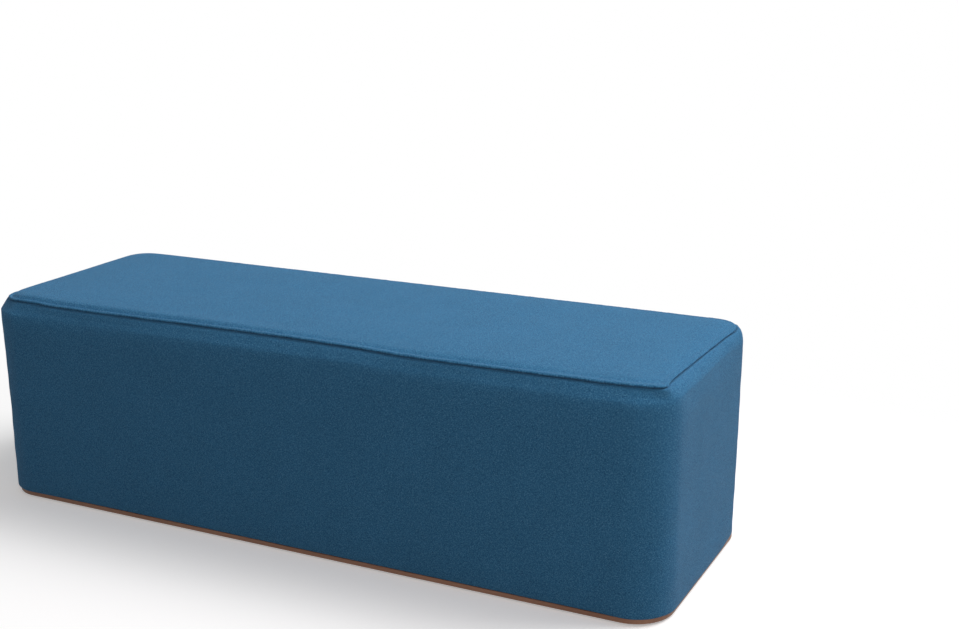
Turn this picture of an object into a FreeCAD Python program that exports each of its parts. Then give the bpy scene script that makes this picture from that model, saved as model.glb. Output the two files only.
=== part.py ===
import FreeCAD, Part
import math
import os
import Sketcher

# A long upholstered bench pouf: a timber box with a foam seat and foam sides
# under a sewn fabric cover, closed below by a board on six glides.
# Length runs along X, width along Y, height along Z, and the front faces -Y.
# The origin is the middle of the footprint, on the floor.

doc = FreeCAD.newDocument("bench_pouf")

# Driving sizes in millimetres, grouped by the piece that carries them.
driving_sizes = {
    # outside of the cover, as seen
    "pouf_length": 1400,
    "pouf_width": 470,
    "pouf_height": 410,
    "corner_radius": 76,
    "side_taper": 5,
    "shoulder_radius": 25,
    "seam_inset": 18,
    "crown_rise": 8,
    "crown_run": 40,
    # fabric cover and its seam
    "cover_thickness": 1.2,
    "seam_allowance": 10,
    "ridge_width": 5,
    "ridge_height": 1.2,
    "ridge_round": 0.8,
    "stitch_setback": 2.5,
    "thread_diameter": 0.8,
    "hem_width": 36,
    "hem_fold_radius": 3,
    # padding
    "layer_gap": 0.3,
    "wadding_thickness": 4,
    "top_foam_thickness": 50,
    "side_foam_thickness": 20,
    "core_overlap": 3,
    # timber box
    "panel_thickness": 12,
    "deck_thickness": 10,
    "rib_thickness": 16,
    "rib_spacing": 330,
    "post_lap": 18,
    # board under the box, and its glides
    "base_board_thickness": 8,
    "base_setback": 1.5,
    "glide_height": 3,
    "glide_diameter": 24,
    "glide_edge_round": 1.5,
    "glide_setback": 45,
    "nail_head_diameter": 8,
    "nail_head_thickness": 1,
    "nail_diameter": 2,
    "nail_length": 18,
    "nail_tip": 3,
    # wood screws
    "screw_length": 35,
    "screw_diameter": 4,
    "screw_head_diameter": 8,
    "screw_head_depth": 2.4,
    "screw_tip": 4,
    "bore_gap": 0.1,
    "base_screw_setback": 14,
    "inner_screw_spacing": 220,
    # staples of the hem
    "staple_crown": 10,
    "staple_leg": 8,
    "staple_wire": 0.7,
    "staple_width": 1.2,
    "staple_pitch": 60,
}

# Sizes that follow from the driving ones. Insets are counted inwards from the
# widest outline of the cover, and heights upwards from the floor.
derived_sizes = {
    "half_length": "sizes.pouf_length / 2",
    "half_width": "sizes.pouf_width / 2",
    "seam_height": "sizes.pouf_height - sizes.crown_rise",
    "seam_reach": "sizes.shoulder_radius - sizes.seam_inset",
    "shoulder_height": "seam_height - sqrt(sizes.shoulder_radius^2 - seam_reach^2)",
    "crown_start": "sizes.seam_inset + sizes.ridge_width",
    "crown_end": "sizes.seam_inset + sizes.crown_run",
    "crown_chord": "crown_end - crown_start",
    "crown_radius": "(crown_chord^2 + sizes.crown_rise^2) / (2 * sizes.crown_rise)",
    "core_inset": "crown_end + sizes.core_overlap",
    "rim_end": "crown_end + 2 * sizes.core_overlap",
    "core_radius": "sizes.corner_radius - core_inset",
    "padding_depth": "sizes.cover_thickness + sizes.layer_gap",
    "foam_depth": "padding_depth + sizes.wadding_thickness + sizes.layer_gap",
    "flange_top": "seam_height - padding_depth",
    "flange_bottom": "flange_top - sizes.cover_thickness",
    "wadding_start": "sizes.seam_inset + sizes.seam_allowance + sizes.layer_gap",
    "wadding_drop": "crown_radius - sqrt(crown_radius^2 - (crown_end - wadding_start)^2)",
    "hem_height": "sizes.glide_height + sizes.base_board_thickness + sizes.staple_wire",
    "fold_height": "hem_height + sizes.hem_fold_radius",
    "frame_bottom": "hem_height + sizes.cover_thickness",
    "deck_top": "sizes.pouf_height - foam_depth - sizes.top_foam_thickness",
    "deck_bottom": "deck_top - sizes.deck_thickness",
    "frame_height": "deck_bottom - frame_bottom",
    "deck_taper": "sizes.side_taper * (shoulder_height - deck_top) / (shoulder_height - fold_height)",
    "frame_inset": "padding_depth + sizes.side_foam_thickness + sizes.layer_gap",
    "frame_half_length": "half_length - frame_inset",
    "frame_half_width": "half_width - frame_inset",
    "frame_radius": "sizes.corner_radius - frame_inset",
    "panel_half_length": "frame_half_length - frame_radius",
    "panel_half_width": "frame_half_width - frame_radius",
    "inner_half_width": "frame_half_width - sizes.panel_thickness",
    "post_reach": "frame_radius + sizes.post_lap",
    "post_x": "frame_half_length - post_reach",
    "post_y": "frame_half_width - post_reach",
    "base_inset": "sizes.side_taper + sizes.base_setback",
    "staple_inset": "frame_inset + sizes.panel_thickness / 2",
}


def fill_sheet(name, cells, lead):
    sheet = doc.addObject("Spreadsheet::Sheet", name)
    for row, (alias, content) in enumerate(cells.items(), start=1):
        sheet.set(f"A{row}", alias)
        sheet.set(f"B{row}", f"{lead}{content}")
        sheet.setAlias(f"B{row}", alias)
    return sheet


sizes = fill_sheet("sizes", driving_sizes, "")
derived = fill_sheet("derived", derived_sizes, "=")
doc.recompute()


def number(expression):
    return float(derived.evalExpression(expression))


def origin_part(body, role):
    return next(part for part in body.Origin.OriginFeatures if part.Role == role)


def new_sketch(body, name, role, offset):
    sketch = body.newObject("Sketcher::SketchObject", name)
    sketch.AttachmentSupport = (origin_part(body, role), [""])
    sketch.MapMode = "FlatFace"
    if offset:
        sketch.setExpression("AttachmentOffset.Base.z", offset)
    return sketch


def bind(sketch, kind, elements, expression):
    index = sketch.addConstraint(Sketcher.Constraint(kind, *elements, number(expression)))
    sketch.setExpression(f"Constraints[{index}]", expression)


# Closed outline on an origin plane. Each corner is (across, up), or
# (across, up, radius, side) where an arc that bulges to that side leaves it.
def outline(body, name, role, corners, offset=None):
    sketch = new_sketch(body, name, role, offset)
    points = [FreeCAD.Vector(number(corner[0]), number(corner[1]), 0) for corner in corners]
    ends = []
    for index, corner in enumerate(corners):
        start = points[index]
        finish = points[(index + 1) % len(points)]
        if len(corner) == 2:
            edge = Part.LineSegment(start, finish)
        else:
            chord = finish - start
            across = FreeCAD.Vector(-chord.y, chord.x, 0).normalize()
            radius = number(corner[2])
            rise = radius - math.sqrt(radius ** 2 - chord.Length ** 2 / 4)
            if corner[3] == "right":
                rise = -rise
            edge = Part.Arc(start, (start + finish) / 2 + across * rise, finish)
        place = sketch.addGeometry(edge, False)
        starts_first = sketch.getPoint(place, 1).distanceToPoint(start) < chord_tolerance
        ends.append((place, 1, 2) if starts_first else (place, 2, 1))
        if len(corner) == 4:
            bind(sketch, "Radius", [place], corner[2])
    for index, corner in enumerate(corners):
        place, first, _ = ends[index]
        previous, _, last = ends[index - 1]
        sketch.addConstraint(Sketcher.Constraint("Coincident", previous, last, place, first))
        if corner[0] == "0":
            sketch.addConstraint(Sketcher.Constraint("PointOnObject", place, first, -2))
        else:
            bind(sketch, "DistanceX", [-1, 1, place, first], corner[0])
        if corner[1] == "0":
            sketch.addConstraint(Sketcher.Constraint("PointOnObject", place, first, -1))
        else:
            bind(sketch, "DistanceY", [-1, 1, place, first], corner[1])
    return sketch


# Two points of a sketch count as one below a thousandth of the fabric.
chord_tolerance = number("sizes.cover_thickness") / 1000


# Rectangle with rounded corners about the origin, in the XY plane.
def rounded_rectangle(body, name, half_length, half_width, radius, offset=None):
    sketch = new_sketch(body, name, "XY_Plane", offset)
    round_radius = number(radius)
    x = number(half_length) - round_radius
    y = number(half_width) - round_radius
    turns = [(x, y, 90), (-x, y, 180), (-x, -y, 270), (x, -y, 360)]
    edges = []
    for index, (turn_x, turn_y, degrees) in enumerate(turns):
        before_x, before_y, _ = turns[index - 1]
        spoke = FreeCAD.Rotation(FreeCAD.Vector(0, 0, 1), degrees - 90)
        reach = spoke.multVec(FreeCAD.Vector(round_radius, 0, 0))
        line = Part.LineSegment(
            FreeCAD.Vector(before_x, before_y, 0) + reach,
            FreeCAD.Vector(turn_x, turn_y, 0) + reach,
        )
        circle = Part.Circle(FreeCAD.Vector(turn_x, turn_y, 0), FreeCAD.Vector(0, 0, 1), round_radius)
        arc = Part.ArcOfCircle(circle, math.radians(degrees - 90), math.radians(degrees))
        edges.append(sketch.addGeometry(line, False))
        edges.append(sketch.addGeometry(arc, False))
    for index, edge in enumerate(edges):
        following = edges[(index + 1) % len(edges)]
        sketch.addConstraint(Sketcher.Constraint("Tangent", edge, 2, following, 1))
    right, back, left, front = edges[0], edges[2], edges[4], edges[6]
    for edge in (right, left):
        sketch.addConstraint(Sketcher.Constraint("Vertical", edge))
    for edge in (back, front):
        sketch.addConstraint(Sketcher.Constraint("Horizontal", edge))
    for arc in edges[3::2]:
        sketch.addConstraint(Sketcher.Constraint("Equal", edges[1], arc))
    sketch.addConstraint(Sketcher.Constraint("Symmetric", edges[1], 3, edges[5], 3, -1, 1))
    bind(sketch, "DistanceX", [left, 1, right, 1], f"2 * ({half_length})")
    bind(sketch, "DistanceY", [front, 1, back, 1], f"2 * ({half_width})")
    bind(sketch, "Radius", [edges[1]], radius)
    return sketch


def pad(body, sketch, length):
    feature = body.newObject("PartDesign::Pad", sketch.Name + "_pad")
    feature.Profile = sketch
    feature.setExpression("Length", length)
    return feature


# Body swept round the pouf: its section is given as (inset, height) corners.
def swept_body(label, corners):
    body = doc.addObject("PartDesign::Body", label)
    path = rounded_rectangle(
        body, label + "_path", "derived.half_length", "derived.half_width", "sizes.corner_radius"
    )
    section = [(f"derived.half_width - ({corner[0]})", *corner[1:]) for corner in corners]
    station = "derived.half_length - sizes.corner_radius"
    profile = outline(body, label + "_section", "YZ_Plane", section, station)
    sweep = body.newObject("PartDesign::AdditivePipe", label + "_sweep")
    sweep.Profile = profile
    sweep.Spine = (path, [f"Edge{edge}" for edge in range(1, 9)])
    doc.recompute()
    return body


# Flat middle of a crowned piece, inside its swept rim.
def add_core(body, bottom, thickness):
    core = rounded_rectangle(
        body,
        body.Name + "_core",
        "derived.half_length - derived.core_inset",
        "derived.half_width - derived.core_inset",
        "derived.core_radius",
        bottom,
    )
    pad(body, core, thickness)
    doc.recompute()


def plate(label, inset, bottom, thickness):
    body = doc.addObject("PartDesign::Body", label)
    sketch = rounded_rectangle(
        body,
        label + "_outline",
        f"derived.half_length - {inset}",
        f"derived.half_width - {inset}",
        f"sizes.corner_radius - {inset}",
        bottom,
    )
    pad(body, sketch, thickness)
    doc.recompute()
    return body


def box(label, length, width, height, corner):
    block = doc.addObject("Part::Box", label)
    for name, expression in zip(("Length", "Width", "Height"), (length, width, height)):
        block.setExpression(name, expression)
    for axis, expression in zip("xyz", corner):
        block.setExpression(f"Placement.Base.{axis}", expression)
    return block


def turned_body(label, corners):
    body = doc.addObject("PartDesign::Body", label)
    profile = outline(body, label + "_half", "XZ_Plane", corners)
    turn = body.newObject("PartDesign::Revolution", label + "_turn")
    turn.Profile = profile
    turn.ReferenceAxis = (origin_part(body, "Z_Axis"), [""])
    turn.Angle = 360
    doc.recompute()
    return body


def bored(label, blank, tools):
    piece = blank
    for tool in tools:
        cut = doc.addObject("Part::Cut", f"{label}_less_{tool.Name}")
        cut.Base = piece
        cut.Tool = tool
        piece = cut
    piece.Label = label
    doc.recompute()
    return piece


# Copies of one small piece as a group of separate solids.
def group(label, master, places):
    copies = []
    for place in places:
        copy = master.Shape.copy()
        copy.Placement = place
        copies.append(copy)
    gathered = doc.addObject("Part::Feature", label)
    gathered.Shape = Part.Compound(copies)
    gathered.Placement = FreeCAD.Placement()
    return gathered


def aimed(x, y, z, direction):
    turn = FreeCAD.Rotation(FreeCAD.Vector(0, 0, 1), FreeCAD.Vector(*direction))
    return FreeCAD.Placement(FreeCAD.Vector(x, y, z), turn)


# Fabric cover

top_height = "sizes.pouf_height"
cover_underside = f"{top_height} - sizes.cover_thickness"
ridge_edge = "sizes.seam_inset + sizes.layer_gap"
ridge_top = "derived.seam_height + sizes.ridge_height"

# The top panel's folded edge stands up as a ridge, and the crown rises behind it.
top_cover = swept_body("top_cover", [
    (ridge_edge, "derived.seam_height - sizes.cover_thickness"),
    (ridge_edge, f"{ridge_top} - sizes.ridge_round", "sizes.ridge_round", "right"),
    (f"{ridge_edge} + sizes.ridge_round", ridge_top),
    ("derived.crown_start", ridge_top),
    ("derived.crown_start", "derived.seam_height", "derived.crown_radius", "right"),
    ("derived.crown_end", top_height),
    ("derived.rim_end", top_height),
    ("derived.rim_end", cover_underside),
    ("derived.crown_end", cover_underside, "derived.crown_radius", "left"),
    ("derived.crown_start", "derived.seam_height - sizes.cover_thickness"),
])
add_core(top_cover, cover_underside, "sizes.cover_thickness")

# The band rolls over the shoulder from the seam, runs down the side and turns
# under the box. Its seam allowance lies under the top panel.
leg_inset = "sizes.seam_inset - sizes.cover_thickness"
leg_top = (
    "derived.shoulder_height + sqrt((sizes.shoulder_radius - sizes.cover_thickness)^2"
    " - (derived.seam_reach + sizes.cover_thickness)^2)"
)
flange_end = "sizes.seam_inset + sizes.seam_allowance"
fold_end = "sizes.side_taper + sizes.hem_fold_radius"
hem_end = "sizes.side_taper + sizes.hem_width"
side_band = swept_body("side_band", [
    ("sizes.seam_inset", "derived.seam_height", "sizes.shoulder_radius", "left"),
    ("0", "derived.shoulder_height"),
    ("sizes.side_taper", "derived.fold_height", "sizes.hem_fold_radius", "left"),
    (fold_end, "derived.hem_height"),
    (hem_end, "derived.hem_height"),
    (hem_end, "derived.frame_bottom"),
    (fold_end, "derived.frame_bottom", "sizes.hem_fold_radius - sizes.cover_thickness", "right"),
    ("sizes.side_taper + sizes.cover_thickness", "derived.fold_height"),
    ("sizes.cover_thickness", "derived.shoulder_height",
     "sizes.shoulder_radius - sizes.cover_thickness", "right"),
    (leg_inset, leg_top),
    (leg_inset, "derived.flange_bottom"),
    (flange_end, "derived.flange_bottom"),
    (flange_end, "derived.flange_top"),
    ("sizes.seam_inset", "derived.flange_top"),
])

# Topstitch thread along the ridge.
seam_thread = doc.addObject("PartDesign::Body", "seam_thread")
stitch_inset = "(sizes.seam_inset + sizes.stitch_setback)"
thread_height = f"{ridge_top} + sizes.thread_diameter / 2"
thread_path = rounded_rectangle(
    seam_thread,
    "thread_path",
    f"derived.half_length - {stitch_inset}",
    f"derived.half_width - {stitch_inset}",
    f"sizes.corner_radius - {stitch_inset}",
    thread_height,
)
thread_section = new_sketch(
    seam_thread, "thread_section", "YZ_Plane", "derived.half_length - sizes.corner_radius"
)
thread_centre = FreeCAD.Vector(number(f"derived.half_width - {stitch_inset}"), number(thread_height), 0)
thread_circle = Part.Circle(
    thread_centre, FreeCAD.Vector(0, 0, 1), number("sizes.thread_diameter / 2")
)
thread_section.addGeometry(thread_circle, False)
bind(thread_section, "DistanceX", [-1, 1, 0, 3], f"derived.half_width - {stitch_inset}")
bind(thread_section, "DistanceY", [-1, 1, 0, 3], thread_height)
bind(thread_section, "Diameter", [0], "sizes.thread_diameter")
thread_sweep = seam_thread.newObject("PartDesign::AdditivePipe", "thread_sweep")
thread_sweep.Profile = thread_section
thread_sweep.Spine = (thread_path, [f"Edge{edge}" for edge in range(1, 9)])
doc.recompute()

# Padding

wadding_top = f"{top_height} - derived.padding_depth"
wadding_bottom = f"{wadding_top} - sizes.wadding_thickness"
top_wadding = swept_body("top_wadding", [
    ("derived.wadding_start", f"{wadding_bottom} - derived.wadding_drop"),
    ("derived.wadding_start", f"{wadding_top} - derived.wadding_drop",
     "derived.crown_radius", "right"),
    ("derived.crown_end", wadding_top),
    ("derived.rim_end", wadding_top),
    ("derived.rim_end", wadding_bottom),
    ("derived.crown_end", wadding_bottom, "derived.crown_radius", "left"),
])
add_core(top_wadding, wadding_bottom, "sizes.wadding_thickness")

# The seat slab has the rounded shoulder, a rebate for the seam allowance and
# the crown.
slab_top = f"{top_height} - derived.foam_depth"
rebate_inset = f"{leg_inset} - sizes.layer_gap"
rebate_top = (
    "derived.shoulder_height + sqrt((sizes.shoulder_radius - derived.padding_depth)^2"
    " - (derived.seam_reach + derived.padding_depth)^2)"
)
slab_side = "derived.padding_depth + derived.deck_taper"
top_foam = swept_body("top_foam", [
    (slab_side, "derived.deck_top"),
    ("derived.padding_depth", "derived.shoulder_height",
     "sizes.shoulder_radius - derived.padding_depth", "right"),
    (rebate_inset, rebate_top),
    (rebate_inset, "derived.flange_bottom - sizes.layer_gap"),
    ("derived.wadding_start", f"{slab_top} - derived.wadding_drop", "derived.crown_radius", "right"),
    ("derived.crown_end", slab_top),
    ("derived.rim_end", slab_top),
    ("derived.rim_end", "derived.deck_top"),
])
add_core(top_foam, "derived.deck_top", "sizes.top_foam_thickness")

foam_inner = "derived.frame_inset - sizes.layer_gap"
side_foam = swept_body("side_foam", [
    (fold_end, "derived.frame_bottom"),
    ("sizes.side_taper + derived.padding_depth", "derived.fold_height"),
    (slab_side, "derived.deck_top"),
    (foam_inner, "derived.deck_top"),
    (foam_inner, "derived.frame_bottom"),
])

# Fasteners: one of each kind, pointing along +Z from its head, and a bore that
# is wider all round by the bore gap.


def screw_body(label, gap):
    head = f"sizes.screw_head_diameter / 2 + {gap}"
    shank = f"sizes.screw_diameter / 2 + {gap}"
    return turned_body(label, [
        ("0", "0"),
        (head, "0"),
        (shank, "sizes.screw_head_depth"),
        (shank, "sizes.screw_length - sizes.screw_tip"),
        ("0", f"sizes.screw_length + {gap}"),
    ])


one_screw = screw_body("one_screw", "0")
one_bore = screw_body("one_bore", "sizes.bore_gap")

# The nail's head is moulded into the glide, in the middle of its height.
head_bottom = "(sizes.glide_height - sizes.nail_head_thickness) / 2"
head_top = "(sizes.glide_height + sizes.nail_head_thickness) / 2"
one_nail = turned_body("one_nail", [
    ("0", head_bottom),
    ("sizes.nail_head_diameter / 2", head_bottom),
    ("sizes.nail_head_diameter / 2", head_top),
    ("sizes.nail_diameter / 2", head_top),
    ("sizes.nail_diameter / 2", f"{head_bottom} + sizes.nail_length - sizes.nail_tip"),
    ("0", f"{head_bottom} + sizes.nail_length"),
])

one_staple = doc.addObject("PartDesign::Body", "one_staple")
staple_shape = outline(one_staple, "staple_shape", "XZ_Plane", [
    ("0", "0"),
    ("sizes.staple_crown", "0"),
    ("sizes.staple_crown", "sizes.staple_leg"),
    ("sizes.staple_crown - sizes.staple_wire", "sizes.staple_leg"),
    ("sizes.staple_crown - sizes.staple_wire", "sizes.staple_wire"),
    ("sizes.staple_wire", "sizes.staple_wire"),
    ("sizes.staple_wire", "sizes.staple_leg"),
    ("0", "sizes.staple_leg"),
])
pad(one_staple, staple_shape, "sizes.staple_width")
doc.recompute()

# Places of the fasteners. Shares run from 0 at one end of what they follow to 1
# at the other, or from -1 to 1 about its middle.
screw_height_shares = (0.15, 0.5, 0.85)
deck_long_shares = (-0.9, -0.54, -0.18, 0.18, 0.54, 0.9)
deck_end_shares = (-0.45, 0.45)

frame_x = number("derived.frame_half_length")
frame_y = number("derived.frame_half_width")
rib_places = [number("sizes.rib_spacing") * step for step in (-1, 0, 1)]
lap_x = number("derived.panel_half_length - sizes.post_lap / 2")
lap_y = number("derived.panel_half_width - sizes.post_lap / 2")
screw_heights = [
    number("derived.frame_bottom") + number("derived.frame_height") * share
    for share in screw_height_shares
]
both = (-1, 1)

frame_places = []
for screw_z in screw_heights:
    for side in both:
        for x in [-lap_x, *rib_places, lap_x]:
            frame_places.append(aimed(x, side * frame_y, screw_z, (0, -side, 0)))
        for y in (-lap_y, lap_y):
            frame_places.append(aimed(side * frame_x, y, screw_z, (-side, 0, 0)))

deck_z = number("derived.deck_top")
edge_x = number("derived.half_length - derived.staple_inset")
edge_y = number("derived.half_width - derived.staple_inset")
inner_y = number("sizes.inner_screw_spacing / 2")
down = (0, 0, -1)
deck_places = []
for side in both:
    for share in deck_long_shares:
        deck_places.append(aimed(share * number("derived.panel_half_length"), side * edge_y, deck_z, down))
    for share in deck_end_shares:
        deck_places.append(aimed(side * edge_x, share * number("derived.panel_half_width"), deck_z, down))
    for x in rib_places:
        deck_places.append(aimed(x, side * inner_y, deck_z, down))

board_z = number("sizes.glide_height")
post_x = number("derived.post_x")
post_y = number("derived.post_y")
base_setback = number("sizes.base_screw_setback")
up = (0, 0, 1)
base_places = [aimed(x, side * inner_y, board_z, up) for x in rib_places for side in both]
for x_side in both:
    for y_side in both:
        x = x_side * (post_x + base_setback)
        base_places.append(aimed(x, y_side * (post_y + base_setback), board_z, up))

glide_x = post_x + number("sizes.glide_setback")
glide_y = post_y + number("sizes.glide_setback")
glide_places = [aimed(x, side * glide_y, 0, up) for x in (-glide_x, 0, glide_x) for side in both]

staple_centre = FreeCAD.Placement(
    FreeCAD.Vector(number("-sizes.staple_crown / 2"), number("sizes.staple_width / 2"), 0),
    FreeCAD.Rotation(),
)
staple_z = number("derived.hem_height - sizes.staple_wire")
staple_pitch = number("sizes.staple_pitch")


def staple_at(x, y, degrees):
    turn = FreeCAD.Rotation(FreeCAD.Vector(0, 0, 1), degrees)
    return FreeCAD.Placement(FreeCAD.Vector(x, y, staple_z), turn).multiply(staple_centre)


def spread(half_span):
    count = int(2 * half_span / staple_pitch) + 1
    return [(place - (count - 1) / 2) * staple_pitch for place in range(count)]


staple_places = []
for side in both:
    for x in spread(number("derived.panel_half_length - sizes.post_lap")):
        staple_places.append(staple_at(x, side * edge_y, 0))
    for y in spread(number("derived.panel_half_width - sizes.post_lap")):
        staple_places.append(staple_at(side * edge_x, y, 90))
turn_x = number("derived.panel_half_length")
turn_y = number("derived.panel_half_width")
turn_radius = number("sizes.corner_radius - derived.staple_inset")
corner_turns = (22.5, 67.5)
for quarter, (x_side, y_side) in enumerate(((1, 1), (-1, 1), (-1, -1), (1, -1))):
    for turn in corner_turns:
        degrees = 90 * quarter + turn
        x = x_side * turn_x + turn_radius * math.cos(math.radians(degrees))
        y = y_side * turn_y + turn_radius * math.sin(math.radians(degrees))
        staple_places.append(staple_at(x, y, degrees + 90))

frame_screws = group("frame_screws", one_screw, frame_places)
frame_bores = group("frame_bores", one_bore, frame_places)
deck_screws = group("deck_screws", one_screw, deck_places)
deck_bores = group("deck_bores", one_bore, deck_places)
base_screws = group("base_screws", one_screw, base_places)
base_bores = group("base_bores", one_bore, base_places)
glide_nails = group("glide_nails", one_nail, glide_places)
cover_staples = group("cover_staples", one_staple, staple_places)

side_cover = bored("side_cover", side_band, [cover_staples])

# Timber box

panel_height = "derived.frame_height"
panel_bottom = "derived.frame_bottom"
wall_tools = [frame_bores, deck_bores, cover_staples]
long_panels = []
for label, place in (
    ("front_panel", "-derived.frame_half_width"),
    ("back_panel", "derived.inner_half_width"),
):
    blank = box(
        label + "_blank",
        "2 * derived.panel_half_length",
        "sizes.panel_thickness",
        panel_height,
        ("-derived.panel_half_length", place, panel_bottom),
    )
    long_panels.append(bored(label, blank, wall_tools))
end_panels = []
for label, place in (
    ("left_end_panel", "-derived.frame_half_length"),
    ("right_end_panel", "derived.frame_half_length - sizes.panel_thickness"),
):
    blank = box(
        label + "_blank",
        "sizes.panel_thickness",
        "2 * derived.panel_half_width",
        panel_height,
        (place, "-derived.panel_half_width", panel_bottom),
    )
    end_panels.append(bored(label, blank, wall_tools))

# A post is rounded outside and rebated on both arms for the panel ends.
post_face = "derived.post_reach - sizes.panel_thickness"
post_corners = [
    ("0", "0"),
    (post_face, "0"),
    (post_face, "sizes.post_lap"),
    ("derived.post_reach", "sizes.post_lap", "derived.frame_radius", "right"),
    ("sizes.post_lap", "derived.post_reach"),
    ("sizes.post_lap", post_face),
    ("0", post_face),
]
corner_posts = []
for quarter, (label, x_sign, y_sign) in enumerate((
    ("corner_post_back_right", "", ""),
    ("corner_post_back_left", "-", ""),
    ("corner_post_front_left", "-", "-"),
    ("corner_post_front_right", "", "-"),
)):
    blank = doc.addObject("PartDesign::Body", label + "_blank")
    pad(blank, outline(blank, label + "_outline", "XY_Plane", post_corners), panel_height)
    blank.Placement.Rotation = FreeCAD.Rotation(FreeCAD.Vector(0, 0, 1), 90 * quarter)
    blank.setExpression("Placement.Base.x", f"{x_sign}derived.post_x")
    blank.setExpression("Placement.Base.y", f"{y_sign}derived.post_y")
    blank.setExpression("Placement.Base.z", panel_bottom)
    doc.recompute()
    corner_posts.append(bored(label, blank, [frame_bores, base_bores, glide_nails, cover_staples]))

ribs = []
for label, place in (
    ("left_rib", "-sizes.rib_spacing - sizes.rib_thickness / 2"),
    ("middle_rib", "-sizes.rib_thickness / 2"),
    ("right_rib", "sizes.rib_spacing - sizes.rib_thickness / 2"),
):
    blank = box(
        label + "_blank",
        "sizes.rib_thickness",
        "2 * derived.inner_half_width",
        panel_height,
        (place, "-derived.inner_half_width", panel_bottom),
    )
    ribs.append(bored(label, blank, [frame_bores, deck_bores, base_bores, glide_nails]))

deck_blank = plate("deck_blank", "derived.frame_inset", "derived.deck_bottom", "sizes.deck_thickness")
deck_board = bored("deck_board", deck_blank, [deck_bores])

# Board under the box, and the glides below it

base_blank = plate("base_blank", "derived.base_inset", "sizes.glide_height", "sizes.base_board_thickness")
base_board = bored("base_board", base_blank, [base_bores, glide_nails])

glides = []
for index, place in enumerate(glide_places, start=1):
    blank = turned_body(f"glide_{index}_blank", [
        ("0", "0"),
        ("sizes.glide_diameter / 2 - sizes.glide_edge_round", "0", "sizes.glide_edge_round", "right"),
        ("sizes.glide_diameter / 2", "sizes.glide_edge_round"),
        ("sizes.glide_diameter / 2", "sizes.glide_height"),
        ("0", "sizes.glide_height"),
    ])
    blank.Placement = place
    doc.recompute()
    glides.append(bored(f"glide_{index}", blank, [glide_nails]))

# Checks, then one file for each piece

single_pieces = [top_cover, side_cover, seam_thread, top_wadding, top_foam, side_foam]
single_pieces += [deck_board, base_board, *long_panels, *end_panels, *corner_posts, *ribs, *glides]
group_counts = {
    frame_screws: len(frame_places),
    deck_screws: len(deck_places),
    base_screws: len(base_places),
    glide_nails: len(glide_places),
    cover_staples: len(staple_places),
}

doc.recompute()
for item in doc.Objects:
    if "Invalid" in item.State or "Error" in item.State:
        raise RuntimeError(f"{item.Label} failed: {item.State}")
solid_counts = {piece: 1 for piece in single_pieces}
solid_counts.update(group_counts)
for piece, count in solid_counts.items():
    if piece.Shape.isNull() or not piece.Shape.isValid():
        raise RuntimeError(f"{piece.Label} has no valid shape")
    if len(piece.Shape.Solids) != count:
        raise RuntimeError(f"{piece.Label} has {len(piece.Shape.Solids)} solids instead of {count}")

os.makedirs("parts", exist_ok=True)
for piece in solid_counts:
    piece.Shape.exportStep(f"parts/{piece.Label}.step")
    print(piece.Label, len(piece.Shape.Solids), round(piece.Shape.Volume))
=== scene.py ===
import math
from functools import partial

import bmesh
import bpy
import numpy as np
from mathutils import Matrix, Vector


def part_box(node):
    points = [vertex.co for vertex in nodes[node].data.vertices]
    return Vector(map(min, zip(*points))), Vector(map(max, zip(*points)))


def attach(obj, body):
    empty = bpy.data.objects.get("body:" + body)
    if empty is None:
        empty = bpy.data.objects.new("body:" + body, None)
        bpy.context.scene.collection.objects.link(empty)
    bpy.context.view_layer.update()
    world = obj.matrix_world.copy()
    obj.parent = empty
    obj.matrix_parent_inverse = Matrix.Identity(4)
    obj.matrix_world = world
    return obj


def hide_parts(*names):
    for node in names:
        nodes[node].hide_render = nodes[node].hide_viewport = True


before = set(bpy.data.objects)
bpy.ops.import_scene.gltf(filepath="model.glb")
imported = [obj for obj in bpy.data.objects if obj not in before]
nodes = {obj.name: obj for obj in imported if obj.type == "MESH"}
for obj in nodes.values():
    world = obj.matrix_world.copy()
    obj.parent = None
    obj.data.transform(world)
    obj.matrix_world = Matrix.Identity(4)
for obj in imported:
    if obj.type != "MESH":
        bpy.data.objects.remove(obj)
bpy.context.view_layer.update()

mm = 0.001
print("frame loaded:", len(nodes), "nodes")

# Places that the fabric pieces share, read from the frame
sideLow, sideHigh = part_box("side_cover")
wrapLow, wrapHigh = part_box("side_foam")
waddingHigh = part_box("top_wadding")[1]
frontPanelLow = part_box("front_panel")[0]
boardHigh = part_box("base_board")[1]
halfLength = sideHigh.x
halfWidth = sideHigh.y
seamHeight = sideHigh.z
hemHeight = sideLow.z

cover = {
    "thickness": 1.2 * mm,
    "cornerRadius": 76 * mm,  # plan radius of the upright corners
    "seamInset": 18 * mm,  # of the seam, from the widest outline
    "shoulderRadius": 25 * mm,
    "taper": 5 * mm,
    "foldRadius": 3 * mm,
    "hemWidth": 36 * mm,
    "coarse": 6 * mm,  # spacing of its columns
    "fineFactor": 3,  # how many times as many there are near the seam
}
frontRun = halfLength - cover["cornerRadius"]
endRun = 2 * (halfWidth - cover["cornerRadius"])
cornerRun = math.pi / 2 * cover["cornerRadius"]
fullTurn = 4 * frontRun + 2 * endRun + 4 * cornerRun

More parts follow.
